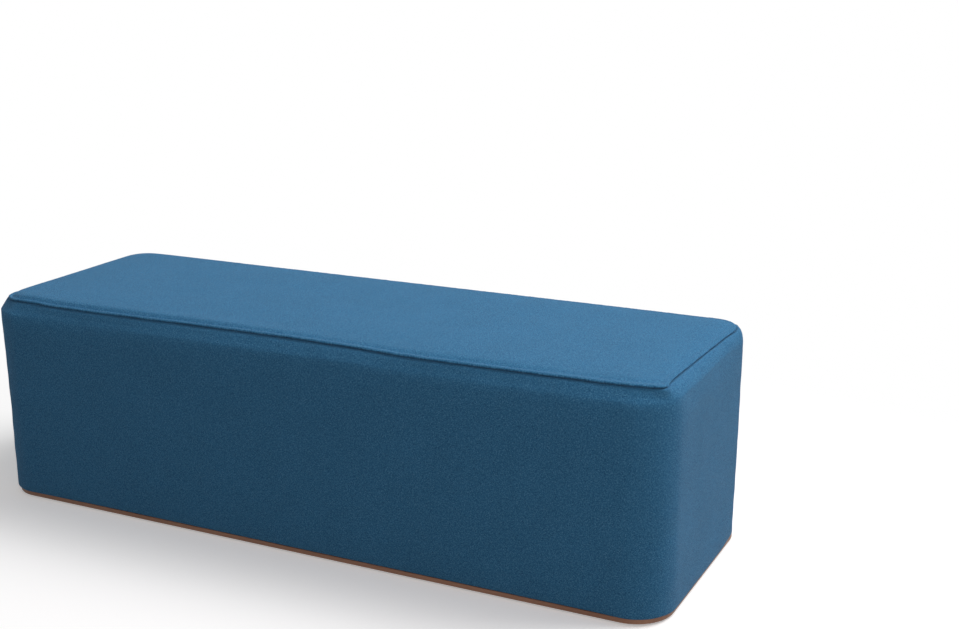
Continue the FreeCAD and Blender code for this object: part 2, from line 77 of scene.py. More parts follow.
# Where the seam strays from its even line, read off the photograph. A place is
# counted along the widest outline from the middle of the front, to the right.
# Drift is inwards and rise upwards, in millimetres, and lift is the rise per
# drift, so that a drawn-in seam rides up. At the near corner the seam is drawn
# in on both sides of a sharp point. Front is how far a stretch has the front's
# shape, with its seam a little further in and higher, over a straighter
# shoulder. Roll is how far the panel's lip rolls down to its seam, where the
# valley is deeper too.
seam = {
    "drift": [
        (-1.8, 0), (-1.4, 1.5), (-1.18, 0.5), (-1.12, -1), (-1.05, 1), (-0.9, 2.5), (-0.76, 1),
        (-0.7, 0.5), (-0.624, 2), (-0.55, -1.8), (-0.45, -2), (-0.37, -1), (-0.24, 0.7), (-0.1, 2),
        (0.02, 2.2), (0.14, 0.7), (0.21, -1.5), (0.27, -2), (0.37, -1.2), (0.48, -0.2), (0.58, 1.5),
        (0.624, 3.9), (0.65, 3.8), (0.674, 0.8), (0.69, -3.1), (0.702, -5.5), (0.712, -4.2), (0.726, 1.6),
        (0.738, 5.2), (0.76, 7.2), (0.8, 6.9), (0.88, 5.4), (0.97, 3.4), (1.04, 1.6), (1.09, -3),
        (1.121, -6.5), (1.15, -3), (1.2, 1), (1.45, -1.5), (1.8, 0),
    ],
    "rise": [(-1.8, 0), (1.05, 0), (1.1, 1.8), (1.14, 1.8), (1.19, 0), (1.8, 0)],
    "front": [(-1.8, 0.6), (-1.28, 0.6), (-1.15, 0), (-0.7, 0), (-0.58, 1), (0.6, 1), (0.66, 1),
              (0.7, 0.75), (0.72, 0.5), (0.75, 0.2), (0.78, 0), (1.15, 0), (1.28, 0.6), (1.8, 0.6)],
    "roll": [(-1.8, 0), (-1.15, 0), (-1.04, 1), (-0.76, 1), (-0.7, 0), (0.71, 0), (0.76, 1),
             (1.06, 1), (1.12, 0.4), (1.2, 0), (1.8, 0)],
    "rollDepth": 2.0 * mm,
    "lift": [(-1.8, 0.2), (-0.62, 0.2), (-0.58, 0.7), (0.5, 0.7), (0.58, 0.2), (1.8, 0.2)],
    "frontInset": 21 * mm,
    "frontRise": 2 * mm,
    "tucks": [(0.7125, 1), (0.7, 0.35), (0.727, -0.45), (0.664, 0.3), (0.748, 0.3), (-0.686, 0.7),
              (-0.668, -0.35), (-0.707, 0.4), (1.118, 0.6), (1.136, 0.35), (-1.124, 0.6), (-1.104, 0.3)],
    "tuckDepth": 0.9 * mm,
    "tuckWidth": 2.6 * mm,
    "tuckReach": 11 * mm,  # drop over which a tuck dies away
    "tuckSpread": 20 * mm,  # and over which it becomes twice as wide
    "smoothing": 5 * mm,  # half width of the running mean over a course
    "readings": 7,  # and how many readings it is taken over
}


# Smooth field of two arrays: a sum of sine waves whose directions, phases and
# wavelengths (between shortest and longest) come from a seeded draw.
def rippleField(across, along, seed, shortest, longest, waves=14):
    draw = np.random.default_rng(seed)
    total = np.zeros(np.broadcast(across, along).shape)
    for _ in range(waves):
        angle = draw.uniform(0, math.tau)
        length = math.exp(draw.uniform(math.log(shortest), math.log(longest)))
        phase = draw.uniform(0, math.tau)
        total += np.sin(math.tau / length * (across * math.cos(angle) + along * math.sin(angle)) + phase)
    return total / math.sqrt(waves / 2)


# 0 at low and before, 1 at high and beyond, and 3t^2 - 2t^3 between.
def ease(values, low, high):
    share = np.clip((values - low) / (high - low), 0, 1)
    return share * share * (3 - 2 * share)


# Bell of a given half width round zero: e to the minus square.
def bell(values, width):
    return np.exp(-((values / width) ** 2))


# Columns run once round the pouf, from the middle of its back by the left end.
# Each has its place on the inner rectangle, as a share of the half sizes, its
# outward direction, and its place along the widest outline. The corners are
# listed with the direction before and after, in degrees.
def makeColumns(spacing, factor=1):
    corners = np.array([(0, 1, 90), (-1, 1, 90), (-1, 1, 180), (-1, -1, 180), (-1, -1, 270),
                        (1, -1, 270), (1, -1, 360), (1, 1, 360), (1, 1, 450), (0, 1, 450)])
    runs = [(frontRun, 1), (cornerRun, 1), (endRun, 1), (cornerRun, 1), (frontRun, 2),
            (cornerRun, 1), (endRun, 1), (cornerRun, 1), (frontRun, 1)]
    ways, places = [], []
    passed = -fullTurn / 2
    for start, finish, (run, times) in zip(corners, corners[1:], runs):
        count = times * int(round(run / spacing)) * factor
        share = np.arange(count) / count
        ways.append(start + (finish - start) * share[:, None])
        places.append(passed + times * run * share)
        passed += times * run
    x, y, turn = np.concatenate(ways).T
    turn = np.radians(turn)
    return {"x": x, "y": y, "place": np.concatenate(places), "normalX": np.cos(turn), "normalY": np.sin(turn)}


coarseColumns = makeColumns(cover["coarse"])
fineColumns = makeColumns(cover["coarse"], cover["fineFactor"])


# Rows are rings at an inset from the widest outline: each point is its column's
# place on the inner rectangle plus what is left of the corner radius, outwards.
def ringGrid(insets, heights, columns):
    insets = insets if insets.ndim == 2 else insets[:, None]
    heights = heights if heights.ndim == 2 else heights[:, None]
    radii = np.maximum(cover["cornerRadius"], insets)
    x = (halfLength - radii) * columns["x"] + (radii - insets) * columns["normalX"]
    y = (halfWidth - radii) * columns["y"] + (radii - insets) * columns["normalY"]
    z = np.broadcast_to(heights, x.shape)
    return np.stack([x, y, z], axis=2)


# A listed course, read at places round the pouf: straight lines between its
# points, rounded off by a short running mean.
def follow(course, place):
    places, values = np.array(course).T
    offsets = np.linspace(-seam["smoothing"], seam["smoothing"], seam["readings"])
    samples = (place[..., None] + offsets + fullTurn / 2) % fullTurn - fullTurn / 2
    return np.interp(samples, places, values).mean(axis=-1)


# Share of a seam's move felt at an inset: all at the seam, none where the
# corner's radius is used up and its columns meet in a point.
def moveShare(insets):
    return ease(-insets, -cover["cornerRadius"], -cover["seamInset"])


# Moves a grid with the seam, in its own share: inwards by the drift, up by lift
# and rise, and, unless it has its own way there, to the front's seam.
def moveWithSeam(grid, columns, weight, toFront=True):
    drift = follow(seam["drift"], columns["place"]) * mm
    up = follow(seam["lift"], columns["place"]) * drift + follow(seam["rise"], columns["place"]) * mm
    if toFront:
        front = follow(seam["front"], columns["place"])
        drift = drift + (seam["frontInset"] - cover["seamInset"]) * front
        up = up + seam["frontRise"] * front
    grid[:, :, 0] -= drift * weight * columns["normalX"]
    grid[:, :, 1] -= drift * weight * columns["normalY"]
    grid[:, :, 2] += up * weight


# Depth of the roll at a place.
def rollFall(place):
    return seam["rollDepth"] * follow(seam["roll"], place)


# Vectors over their own lengths.
def unit(vectors):
    return vectors / np.maximum(np.linalg.norm(vectors, axis=-1, keepdims=True), 1e-12)


# Unit normals of a closed-round grid, from its neighbours' differences.
def gridNormals(grid):
    alongColumns = np.roll(grid, -1, axis=1) - np.roll(grid, 1, axis=1)
    return unit(np.cross(np.gradient(grid, axis=0), alongColumns))


# Distance along the first axis, summed from point to point.
def runningLength(points):
    steps = np.linalg.norm(np.diff(points, axis=0), axis=-1)
    return np.concatenate([np.zeros((1,) + steps.shape[1:]), np.cumsum(steps, axis=0)])


# Section points of two arrays, or of an array and one number.
def pairs(insets, heights):
    return np.stack(np.broadcast_arrays(insets, heights), axis=1)


# Points of an arc about a centre, from one angle to another, in degrees.
def arc(centre, radius, start, finish, steps):
    turn = np.radians(np.linspace(start, finish, steps))
    return pairs(centre[0] - radius * np.cos(turn), centre[1] + radius * np.sin(turn))


def line(start, finish, steps):
    share = np.linspace(0, 1, steps)[:, None]
    return np.array(start) * (1 - share) + np.array(finish) * share


# Catmull-Rom curve through a few points, a number of steps to each span.
def smoothLine(points, steps):
    points = np.array(points)
    padded = np.concatenate([2 * points[:1] - points[1:2], points, 2 * points[-1:] - points[-2:-1]])
    t = (np.arange(steps) / steps)[None, :, None]
    p0, p1, p2, p3 = (padded[k:len(padded) - 3 + k, None, :] for k in range(4))
    curve = 0.5 * (2 * p1 + (p2 - p0) * t + (2 * p0 - 5 * p1 + 4 * p2 - p3) * t ** 2
                   + (3 * p1 - p0 - 3 * p2 + p3) * t ** 3)
    return np.concatenate([curve.reshape(-1, 2), points[-1:]])


# The same section, moved inwards along its own normals.
def insideOf(section, thickness):
    along = unit(np.gradient(section, axis=0))
    return section + thickness * pairs(-along[:, 1], along[:, 0])


# Bilinear reading of a coarse field at fractional row and column numbers.
def readField(field, row, column, closed):
    rows, columns = field.shape[:2]
    short = 1.001  # so that a reading stays just short of the last row
    row = np.clip(row, 0, rows - short)
    column = column % columns if closed else np.clip(column, 0, columns - short)
    r, c = np.floor(row).astype(int), np.floor(column).astype(int)
    nextC = (c + 1) % columns
    a, b = row - r, column - c
    if field.ndim == 3:
        a, b = a[..., None], b[..., None]
    upper = field[r, c] * (1 - b) + field[r, nextC] * b
    lower = field[r + 1, c] * (1 - b) + field[r + 1, nextC] * b
    return upper * (1 - a) + lower * a


# Mesh from points and polygons, given as corner lists of equal length each, and
# a UV map in metres for each corner.
def makePiece(name, points, polygons, cornerUv=None, weld=False):
    mesh = bpy.data.meshes.new(name)
    points = np.ascontiguousarray(points.reshape(-1, 3))
    loops = np.concatenate([faces.ravel() for faces in polygons]).astype(np.int32)
    sizes = np.concatenate([np.full(len(faces), faces.shape[1]) for faces in polygons])
    starts = np.concatenate([[0], np.cumsum(sizes)[:-1]]).astype(np.int32)
    mesh.vertices.add(len(points))
    mesh.vertices.foreach_set("co", points.ravel())
    mesh.loops.add(len(loops))
    mesh.loops.foreach_set("vertex_index", loops)
    mesh.polygons.add(len(sizes))
    mesh.polygons.foreach_set("loop_start", starts)
    mesh.polygons.foreach_set("use_smooth", np.ones(len(sizes), dtype=bool))
    mesh.update(calc_edges=True)
    if cornerUv is not None:
        layer = mesh.uv_layers.new(name="cloth")
        layer.data.foreach_set("uv", np.concatenate([uv.reshape(-1, 2) for uv in cornerUv]).ravel())
    mesh.validate()
    if weld:
        work = bmesh.new()
        work.from_mesh(mesh)
        bmesh.ops.remove_doubles(work, verts=work.verts, dist=1e-6)
        bmesh.ops.dissolve_degenerate(work, dist=1e-7, edges=work.edges)
        work.to_mesh(mesh)
        work.free()
    piece = bpy.data.objects.new(name, mesh)
    bpy.context.scene.collection.objects.link(piece)
    return piece


# Corner rows and columns of a zone's own quads, and of the polygons that join
# two zones, one with a few times as many columns as the other. The first entry
# of each corner says which of the two zones it lies in.
def zoneQuads(rows, count):
    row, column = np.meshgrid(np.arange(rows - 1), np.arange(count), indexing="ij")
    corners = [(row, column), (row + 1, column), (row + 1, column + 1), (row, column + 1)]
    return [(0, r.ravel(), c.ravel()) for r, c in corners]


def joiningPolygons(upper, lower):
    few = min(upper["count"], lower["count"])
    column = np.arange(few)
    upperStep, lowerStep = upper["count"] // few, lower["count"] // few
    last = upper["rows"] - 1
    down = [(1, 0 * column, column * lowerStep + k) for k in range(lowerStep + 1)]
    back = [(0, 0 * column + last, column * upperStep + k) for k in range(upperStep, -1, -1)]
    return down + back


# Builds one shell out of zones of rings, each zone with its own column count.
# Its UV is the place round the pouf and the length along the section, or, if
# flat, each point's own x and y.
def makeShell(name, zones, closed, flatUv=False, weld=False):
    start = 0
    for zone in zones:
        zone["rows"], zone["count"] = zone["grid"].shape[:2]
        zone["start"] = start
        start += zone["rows"] * zone["count"]
    polygons, uvs = [], []

    def add(pair, corners):
        indices, uv = [], []
        for which, row, column in corners:
            zone = pair[which]
            wrapped = column % zone["count"]
            indices.append(zone["start"] + row * zone["count"] + wrapped)
            if flatUv:
                uv.append(zone["grid"][row, wrapped, :2])
            else:
                extra = np.where(column >= zone["count"], fullTurn, 0)
                along = zone["along"][row]
                uv.append(np.stack([zone["columns"]["place"][wrapped] + extra, along], axis=1))
        polygons.append(np.stack(indices, axis=1))
        uvs.append(np.stack(uv, axis=1))

    for number, zone in enumerate(zones):
        add((zone, zone), zoneQuads(zone["rows"], zone["count"]))
        if closed or number + 1 < len(zones):
            following = zones[(number + 1) % len(zones)]
            add((zone, following), joiningPolygons(zone, following))
    points = np.concatenate([zone["grid"].reshape(-1, 3) for zone in zones])
    return makePiece(name, points, polygons, uvs, weld)


# Cloth settings, by their own names, and the frames that the swelling takes
swelling = {
    "quality": 5,
    "mass": 0.3,
    "tension_stiffness": 20,
    "compression_stiffness": 20,
    "shear_stiffness": 8,
    "bending_stiffness": 3,
}
swellingFrames = 20


# Cloth simulation: pressure swells the mesh from its held points, frame by frame,
# and each move m is kept to cap * m / (cap + m), so none passes the cap.
def swell(points, faces, held, pressure, cap):
    piece = makePiece("swelling", points, [faces])
    group = piece.vertex_groups.new(name="held")
    group.add([int(index) for index in np.nonzero(held.ravel())[0]], 1, "REPLACE")
    cloth = piece.modifiers.new("cloth", "CLOTH")
    for setting, value in swelling.items():
        setattr(cloth.settings, setting, value)
    cloth.settings.vertex_group_mass = "held"
    cloth.settings.use_pressure = True
    cloth.settings.uniform_pressure_force = pressure
    cloth.settings.effector_weights.gravity = 0
    cloth.point_cache.frame_start = 1
    cloth.point_cache.frame_end = swellingFrames
    scene = bpy.context.scene
    for number in range(swellingFrames):
        scene.frame_set(number + 1)
    swollen = piece.evaluated_get(bpy.context.evaluated_depsgraph_get()).to_mesh()
    after = np.empty(points.size)
    swollen.vertices.foreach_get("co", after)
    moved = after.reshape(points.shape) - points
    size = np.linalg.norm(moved, axis=-1, keepdims=True)
    mesh = piece.data
    bpy.data.objects.remove(piece)
    bpy.data.meshes.remove(mesh)
    scene.frame_set(1)
    return moved * cap / (cap + size)


# Materials

def newMaterial(name):
    material = bpy.data.materials.new(name)
    material.use_nodes = True
    tree = material.node_tree
    return material, tree, tree.nodes["Principled BSDF"]


# Sets a node's inputs, each to a value or to another node's output.
def setInputs(tree, node, inputs):
    for key, value in inputs.items():
        if isinstance(value, bpy.types.NodeSocket):
            tree.links.new(value, node.inputs[key])
        else:
            node.inputs[key].default_value = value


def addNode(tree, kind, inputs=None, **settings):
    node = tree.nodes.new(kind)
    for key, value in settings.items():
        setattr(node, key, value)
    setInputs(tree, node, inputs or {})
    return node


# One Math node: an operation on sockets or numbers.
def compute(tree, operation, *values):
    return addNode(tree, "ShaderNodeMath", dict(enumerate(values)), operation=operation).outputs[0]


def joinVector(tree, *values):
    return addNode(tree, "ShaderNodeCombineXYZ", dict(enumerate(values))).outputs[0]


def splitVector(tree, vector):
    return addNode(tree, "ShaderNodeSeparateXYZ", {0: vector}).outputs


def noise(tree, vector, scale, detail=2, roughness=0.5):
    inputs = {"Vector": vector, "Scale": scale, "Detail": detail, "Roughness": roughness}
    return addNode(tree, "ShaderNodeTexNoise", inputs).outputs["Fac"]


def objectPlace(tree):
    return addNode(tree, "ShaderNodeTexCoord").outputs["Object"]


# A vector, each part times its own factor.
def stretched(tree, vector, factors):
    return addNode(tree, "ShaderNodeMapping", {0: vector, "Scale": factors}).outputs[0]


# Colour between stops of (place, colour).
def ramp(tree, factor, stops):
    node = addNode(tree, "ShaderNodeValToRGB", {0: factor})
    elements = node.color_ramp.elements
    while len(elements) < len(stops):
        elements.new(0.5)
    for element, (place, colour) in zip(elements, stops):
        element.position = place
        element.color = (*colour, 1)
    return node.outputs[0]


# Colour times a grey factor.
def shade(tree, colour, factor):
    return addNode(tree, "ShaderNodeVectorMath", {0: colour, "Scale": factor}, operation="SCALE").outputs[0]


# The first tone times its share, plus the second times the rest.
def mixTones(tree, first, second, share):
    rest = compute(tree, "MULTIPLY", second, 1 - share)
    return compute(tree, "MULTIPLY_ADD", first, share, rest)


def addBump(tree, shader, height, distance, strength=1.0):
    node = addNode(tree, "ShaderNodeBump", {"Height": height, "Distance": distance, "Strength": strength})
    tree.links.new(node.outputs["Normal"], shader.inputs["Normal"])


weave = {
    "pitch": 1.5 * mm,
    "dark": (0.014, 0.098, 0.222),
    "middle": (0.038, 0.200, 0.402),
    "light": (0.115, 0.360, 0.610),
    "stops": (0.30, 0.50, 0.74),  # tones at which those three colours stand
    "wander": 0.8 * mm,  # how far threads stray from straight
    "wanderScale": 55,
    "sideDrop": 3.4,  # how steeply a thread falls to its sides
    "endDrop": 2.2,  # and how far it dips at its ends
    "toneRun": 0.40,  # how fast the tone changes along a thread
    "toneStep": 3.7,  # and from one thread to the next
    "fleck": 0.6,
    "fleckScale": 700,
    "clouds": 0.16,  # how far wide clouds change the tone
    # Painted shade in the weave's hollows: the tone where a thread lies low, and what its height adds back
    "cloudScale": 9,
    "hollowShadeTone": 0.60,  # tone at height 0, where a thread lies low
    "shadeLiftPerHeight": 0.55,  # and what is added at height 1
    "fuzz": 0.25,
    "fuzzScale": 2600,
    "relief": 0.35 * mm,
}


# Plain weave on the cloth UV: in every other cell the warp lies on top, in the
# others the weft. Each thread is round across itself and dips at its ends, and
# its tone wanders along its length, as in a melange yarn. Where a thread lies
# low, painted shade darkens its colour.
def makeFabric(name):
    material, tree, shader = newMaterial(name)
    calc = partial(compute, tree)
    uv = addNode(tree, "ShaderNodeUVMap", uv_map="cloth").outputs[0]
    across, along = splitVector(tree, uv)[:2]
    wander = noise(tree, uv, weave["wanderScale"])
    drift = calc("MULTIPLY_ADD", wander, 2 * weave["wander"], -weave["wander"])
    u, v = [calc("DIVIDE", calc("ADD", part, drift), weave["pitch"]) for part in (across, along)]
    cellU, cellV = [calc("FLOOR", value) for value in (u, v)]
    offU, offV = [calc("SUBTRACT", calc("FRACT", value), 0.5) for value in (u, v)]
    warpOnTop = calc("FLOORED_MODULO", calc("ADD", cellU, cellV), 2)

    def threadHeight(side, end):
        steps = (side, weave["sideDrop"]), (end, weave["endDrop"])
        drops = [calc("MULTIPLY", calc("MULTIPLY", off, off), drop) for off, drop in steps]
        return calc("SUBTRACT", 1, calc("ADD", *drops))

    def threadTone(cell, run, seed):
        step = calc("MULTIPLY", cell, weave["toneStep"])
        along = calc("MULTIPLY", run, weave["toneRun"])
        return noise(tree, joinVector(tree, step, along, seed), 1, 3, 0.75)

    def choose(warp, weft):
        return addNode(tree, "ShaderNodeMix", {0: warpOnTop, 2: weft, 3: warp}).outputs[0]

    height = choose(threadHeight(offU, offV), threadHeight(offV, offU))
    tone = choose(threadTone(cellU, v, 0), threadTone(cellV, u, 9))
    fleck = noise(tree, uv, weave["fleckScale"], 2, 0.6)
    tone = calc("MULTIPLY_ADD", calc("SUBTRACT", fleck, 0.5), weave["fleck"], tone)
    colours = [weave[key] for key in ("dark", "middle", "light")]
    colour = ramp(tree, tone, list(zip(weave["stops"], colours)))
    clouds = noise(tree, uv, weave["cloudScale"], 3)
    lift = calc("MULTIPLY_ADD", clouds, weave["clouds"], 1 - weave["clouds"] / 2)
    # Painted shade: the colour is darkened where a thread lies low between its crossings
    depth = calc("MULTIPLY_ADD", height, weave["shadeLiftPerHeight"], weave["hollowShadeTone"])
    colour = shade(tree, colour, calc("MULTIPLY", lift, depth))
    fuzz = noise(tree, uv, weave["fuzzScale"])
    addBump(tree, shader, calc("MULTIPLY_ADD", fuzz, weave["fuzz"], height), weave["relief"], 0.8)
    setInputs(tree, shader, {
        "Base Color": colour,
        "Roughness": 0.88,
        "Specular IOR Level": 0.22,
        "Sheen Weight": 0.12,
        "Sheen Roughness": 0.40,
        "Sheen Tint": (0.70, 0.85, 1.0, 1),
    })
    return material


wood = {
    "bandScale": 60,
    "poreScale": 420,
    "poreShare": 0.35,
    "ply": 1.5 * mm,  # thickness of one ply
    "plyContrast": 0.10,
    "relief": 0.3 * mm,
}


# Wood on object coordinates: noise squeezed along the grain, and, on the edges
# of plywood, a light and a dark ply by turns through its thickness.
def makeWood(name, stops, grain, roughness, plyAxis=None):
    material, tree, shader = newMaterial(name)
    place = objectPlace(tree)
    along = stretched(tree, place, grain)
    bands = noise(tree, along, wood["bandScale"], 6, 0.6)
    pores = noise(tree, along, wood["poreScale"], 3, 0.7)
    mixed = mixTones(tree, pores, bands, wood["poreShare"])
    colour = ramp(tree, mixed, stops)
    if plyAxis is not None:
        turns = compute(tree, "MULTIPLY", splitVector(tree, place)[plyAxis], math.tau / (2 * wood["ply"]))
        plies = compute(tree, "SINE", turns)
        contrast = wood["plyContrast"]
        colour = shade(tree, colour, compute(tree, "MULTIPLY_ADD", plies, contrast, 1 - contrast / 2))
    addBump(tree, shader, mixed, wood["relief"], 0.5)
    setInputs(tree, shader, {"Base Color": colour, "Roughness": roughness})
    return material


cells = {
    "inCloud": 40,  # how many cells wide a cloud of tone is
    "share": 0.4,  # of the cells in the tone, the rest being clouds
}


# Filling on object coordinates: fine cells for foam, wider ones for wadding.
def makeFilling(name, stops, scale, depth):
    material, tree, shader = newMaterial(name)
    place = objectPlace(tree)
    pattern = addNode(tree, "ShaderNodeTexVoronoi", {"Vector": place, "Scale": scale}).outputs["Distance"]
    clouds = noise(tree, place, scale / cells["inCloud"], 4)
    mixed = mixTones(tree, pattern, clouds, cells["share"])
    addBump(tree, shader, pattern, depth)
    setInputs(tree, shader, {"Base Color": ramp(tree, mixed, stops), "Roughness": 0.95})
    return material


hard = {
    "grainScale": 900,
    "darker": 0.82,  # factors on the colour in the grain's darks and lights
    "lighter": 1.15,
    "smoother": 0.12,  # how far the roughness goes below the given one
    "rougher": 0.25,  # and how far up again from there
    "relief": 0.05 * mm,
}


# Metal, plastic or thread with a fine grain that varies tone and roughness.
def makeHard(name, colour, metallic, roughness):
    material, tree, shader = newMaterial(name)
    grain = noise(tree, objectPlace(tree), hard["grainScale"], 4, 0.7)
    low = tuple(value * hard["darker"] for value in colour)
    high = tuple(min(value * hard["lighter"], 1) for value in colour)
    colour = ramp(tree, grain, [(0.35, low), (0.65, high)])
    rough = compute(tree, "MULTIPLY_ADD", grain, hard["rougher"], roughness - hard["smoother"])
    addBump(tree, shader, grain, hard["relief"], 0.4)
    setInputs(tree, shader, {"Base Color": colour, "Roughness": rough, "Metallic": metallic})
    return material


plyStops = [(0.35, (0.50, 0.34, 0.19)), (0.65, (0.70, 0.53, 0.34))]
pineStops = [(0.35, (0.46, 0.28, 0.13)), (0.65, (0.68, 0.48, 0.27))]
boardStops = [(0.35, (0.25, 0.130, 0.080)), (0.65, (0.39, 0.215, 0.138))]
materials = {
    "fabric": makeFabric("melange_fabric"),
    "thread": makeHard("seam_thread_polyester", (0.060, 0.220, 0.420), 0, 0.55),
    "foam": makeFilling("seat_foam", [(0.3, (0.70, 0.62, 0.38)), (0.7, (0.86, 0.80, 0.58))], 900, 0.4 * mm),
    "wadding": makeFilling("wadding", [(0.3, (0.74, 0.74, 0.72)), (0.7, (0.90, 0.90, 0.88))], 260, 0.6 * mm),
    "longPly": makeWood("birch_plywood_long", plyStops, (0.12, 1, 1), 0.7, 1),
    "crossPly": makeWood("birch_plywood_cross", plyStops, (1, 0.12, 1), 0.7, 0),
    "deckPly": makeWood("birch_plywood_deck", plyStops, (0.12, 1, 1), 0.7, 2),
    "timber": makeWood("pine_post", pineStops, (1, 1, 0.1), 0.65),
    "board": makeWood("brown_base_board", boardStops, (0.08, 1, 1), 0.5),
    "steel": makeHard("zinc_steel", (0.55, 0.55, 0.53), 1, 0.4),
    "plastic": makeHard("glide_plastic", (0.03, 0.03, 0.032), 0, 0.5),
}
print("materials made:", len(materials))


def finishPiece(piece, material, slot, replaced, fill=None):
    piece.data.materials.append(materials[material])
    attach(piece, "root")
    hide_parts(replaced)
    print(f"{piece.name} made: {len(piece.data.polygons)} faces")


# Side band: from its allowance under the top panel, out of the seam's valley,
# over the shoulder, down the tapered side, round the fold and under the box.
band = {
    "fineDepth": 30 * mm,  # the fine zone reaches this far below the seam
    "allowance": 8 * mm,
    "tuckEdge": 0.6 * mm,  # the tucked part ends this far in from the seam
    "tuckDrop": 0.4 * mm,  # and lies this far below it
    "steps": (6, 38, 48, 9, 7),  # of the tucked part, shoulder, side, fold and hem
    "innerStep": 3,  # the inside has every third row of the outside
    "valleyDepth": 4.2 * mm,
    "valleyWidth": 4.8 * mm,
    "frontValley": 4.8 * mm,  # drop over which the front comes out of its valley
    "frontReach": [(-1.8, 29), (-0.5, 29.5), (-0.2, 25), (-0.05, 24), (0.12, 22.5), (0.27, 26.5),
                   (0.55, 26), (0.62, 25), (0.665, 26), (0.8, 29), (1.8, 29)],
    "frontSoftness": 0.35,  # how softly the shoulder ends, as a share of its reach
    "ripple": 0.22 * mm,
    "rippleWaves": (7, 0.05, 0.32),  # seed, shortest and longest wave
    "rippleSquash": 1.6,
    "pucker": 0.20 * mm,
    "puckerWaves": (21, 0.009, 0.030),
    "puckerSquash": 0.15,
    "puckerReach": 14 * mm,
    "reliefStart": 1 * mm,  # drop by which the relief is whole
    "reliefEnd": 30 * mm,  # height over the fold from where it dies away
    "flat": [(-0.684, 0.85), (0.684, 0.15), (1.121, 0.1), (-1.121, 0.6)],
    "flatWidth": 75 * mm,  # how far a flattened shoulder reaches
    "tails": [  # where the side is drawn in: how far at most, at what drop, and its share
        (3 * mm, 16 * mm, [(-1.8, 0), (0.75, 0), (0.86, 0.6), (0.93, 1), (0.99, 1), (1.06, 0), (1.8, 0)]),
        (6 * mm, 30 * mm, [(-1.8, 0), (0.57, 0), (0.635, 0.6), (0.665, 1), (0.69, 0.8), (0.72, 0.25),
                           (0.76, 0), (1.8, 0)]),
    ],
    "lean": [(-1.8, 0), (-1.2, 0), (-1, -3.5), (-0.7, -4), (-0.45, 0), (0.58, 0), (0.67, -2.8),
             (0.7, -2.8), (0.78, -0.3), (1, -0.3), (1.06, 0.2), (1.12, 2.8), (1.24, 0), (1.8, 0)],
    "leanStart": 50 * mm,  # drop from where the side leans
    "hang": [(-1.8, 0), (0.7, 0), (0.78, 1), (1, 1), (1.07, 0), (1.8, 0)],
    "hangDepth": 5 * mm,  # how far the fold hangs over the board's edge there
    "hangNone": 0.3 * mm,  # none this far inside the board's edge
    "hangWhole": 0.8 * mm,  # and all of it this far outside
    "hangHeights": (45 * mm, 15 * mm),  # over the floor, where it begins and is whole
    "hangLining": 0.9 * mm,  # what the band's inside counts as further in
    "simulated": 12 * mm,
    "simulatedRows": 33,
    "simulatedDrop": 4 * mm,  # drop of its held upper edge
    "unevenness": 0.3 * mm,  # of the coarse band before it swells
    "unevenWaves": (5, 0.12, 0.5),
    "pressure": 3,
    "cap": 1.6 * mm,
}
shoulderHeight = seamHeight - math.sqrt(
    cover["shoulderRadius"] ** 2 - (cover["shoulderRadius"] - cover["seamInset"]) ** 2
)
foldCentre = (cover["taper"] + cover["foldRadius"], hemHeight + cover["foldRadius"])


# Section of the band's outside, with the drop below the seam of each point; the
# tucked part has none. The valley is pressed in later.
def bandSection():
    radius = cover["shoulderRadius"]
    inset = cover["seamInset"]
    seamAngle = math.degrees(math.acos(1 - inset / radius))
    tuckHeight = seamHeight - band["tuckDrop"]
    steps = band["steps"]
    tuck = line((inset + band["allowance"], tuckHeight), (inset + band["tuckEdge"], tuckHeight), steps[0])
    shoulder = arc((radius, shoulderHeight), radius, seamAngle, 0, steps[1])
    side = line((0, shoulderHeight), (cover["taper"], foldCentre[1]), steps[2])[1:-1]
    fold = arc(foldCentre, cover["foldRadius"], 0, -90, steps[3])
    hem = line((foldCentre[0], hemHeight), (cover["taper"] + cover["hemWidth"], hemHeight), steps[4])[1:]
    section = np.concatenate([tuck, shoulder, side, fold, hem])
    drop = seamHeight - section[:, 1]
    drop[:len(tuck)] = 0
    return section, drop


# Fall of the fold where it hangs: all of it outside the board's edge, none over
# the board's top, and easing out up the side.
def hemFall(insets, drop, place):
    boardEdge = halfLength - boardHigh.x
    outside = ease(-insets, -boardEdge - band["hangNone"], band["hangWhole"] - boardEdge)
    begins, whole = band["hangHeights"]
    low = ease(drop, seamHeight - begins, seamHeight - whole)
    return -band["hangDepth"] * follow(band["hang"], place) * outside * low


# Inset of the plain shoulder's arc at a drop below the seam.
def arcInset(drop):
    rise = np.clip(seamHeight - shoulderHeight - drop, 0, None)
    return cover["shoulderRadius"] - np.sqrt(cover["shoulderRadius"] ** 2 - rise ** 2)


# Swelling of the side: a coarse band held along the seam and the fold.
def simulateSide():
    columns = makeColumns(band["simulated"])
    heights = np.linspace(seamHeight - band["simulatedDrop"], hemHeight, band["simulatedRows"])
    insets = arcInset(seamHeight - heights)
    insets += cover["taper"] * np.clip((shoulderHeight - heights) / (shoulderHeight - hemHeight), 0, 1)
    grid = ringGrid(insets, heights, columns)
    rows, count = grid.shape[:2]
    waves = rippleField(columns["place"], heights[:, None], *band["unevenWaves"])
    grid += gridNormals(grid) * (band["unevenness"] * waves)[:, :, None]
    corners = [r * count + c % count for _, r, c in zoneQuads(rows, count)]
    held = np.zeros((rows, count), dtype=bool)
    held[0] = held[-1] = True
    moved = swell(grid, np.stack(corners, axis=1), held, band["pressure"], band["cap"])
    print(f"side swollen by up to {np.linalg.norm(moved, axis=2).max() / mm:.2f} mm")
    return moved


# How far the side is drawn in where its shoulder runs out slowly: the sum of
# depth * share * u * e^(1 - u), with u = drop / the drop where it is deepest.
def slowTail(drop, place):
    total = 0
    for depth, deepest, course in band["tails"]:
        u = drop / deepest
        total = total + depth * follow(course, place) * u * np.exp(1 - u)
    return total


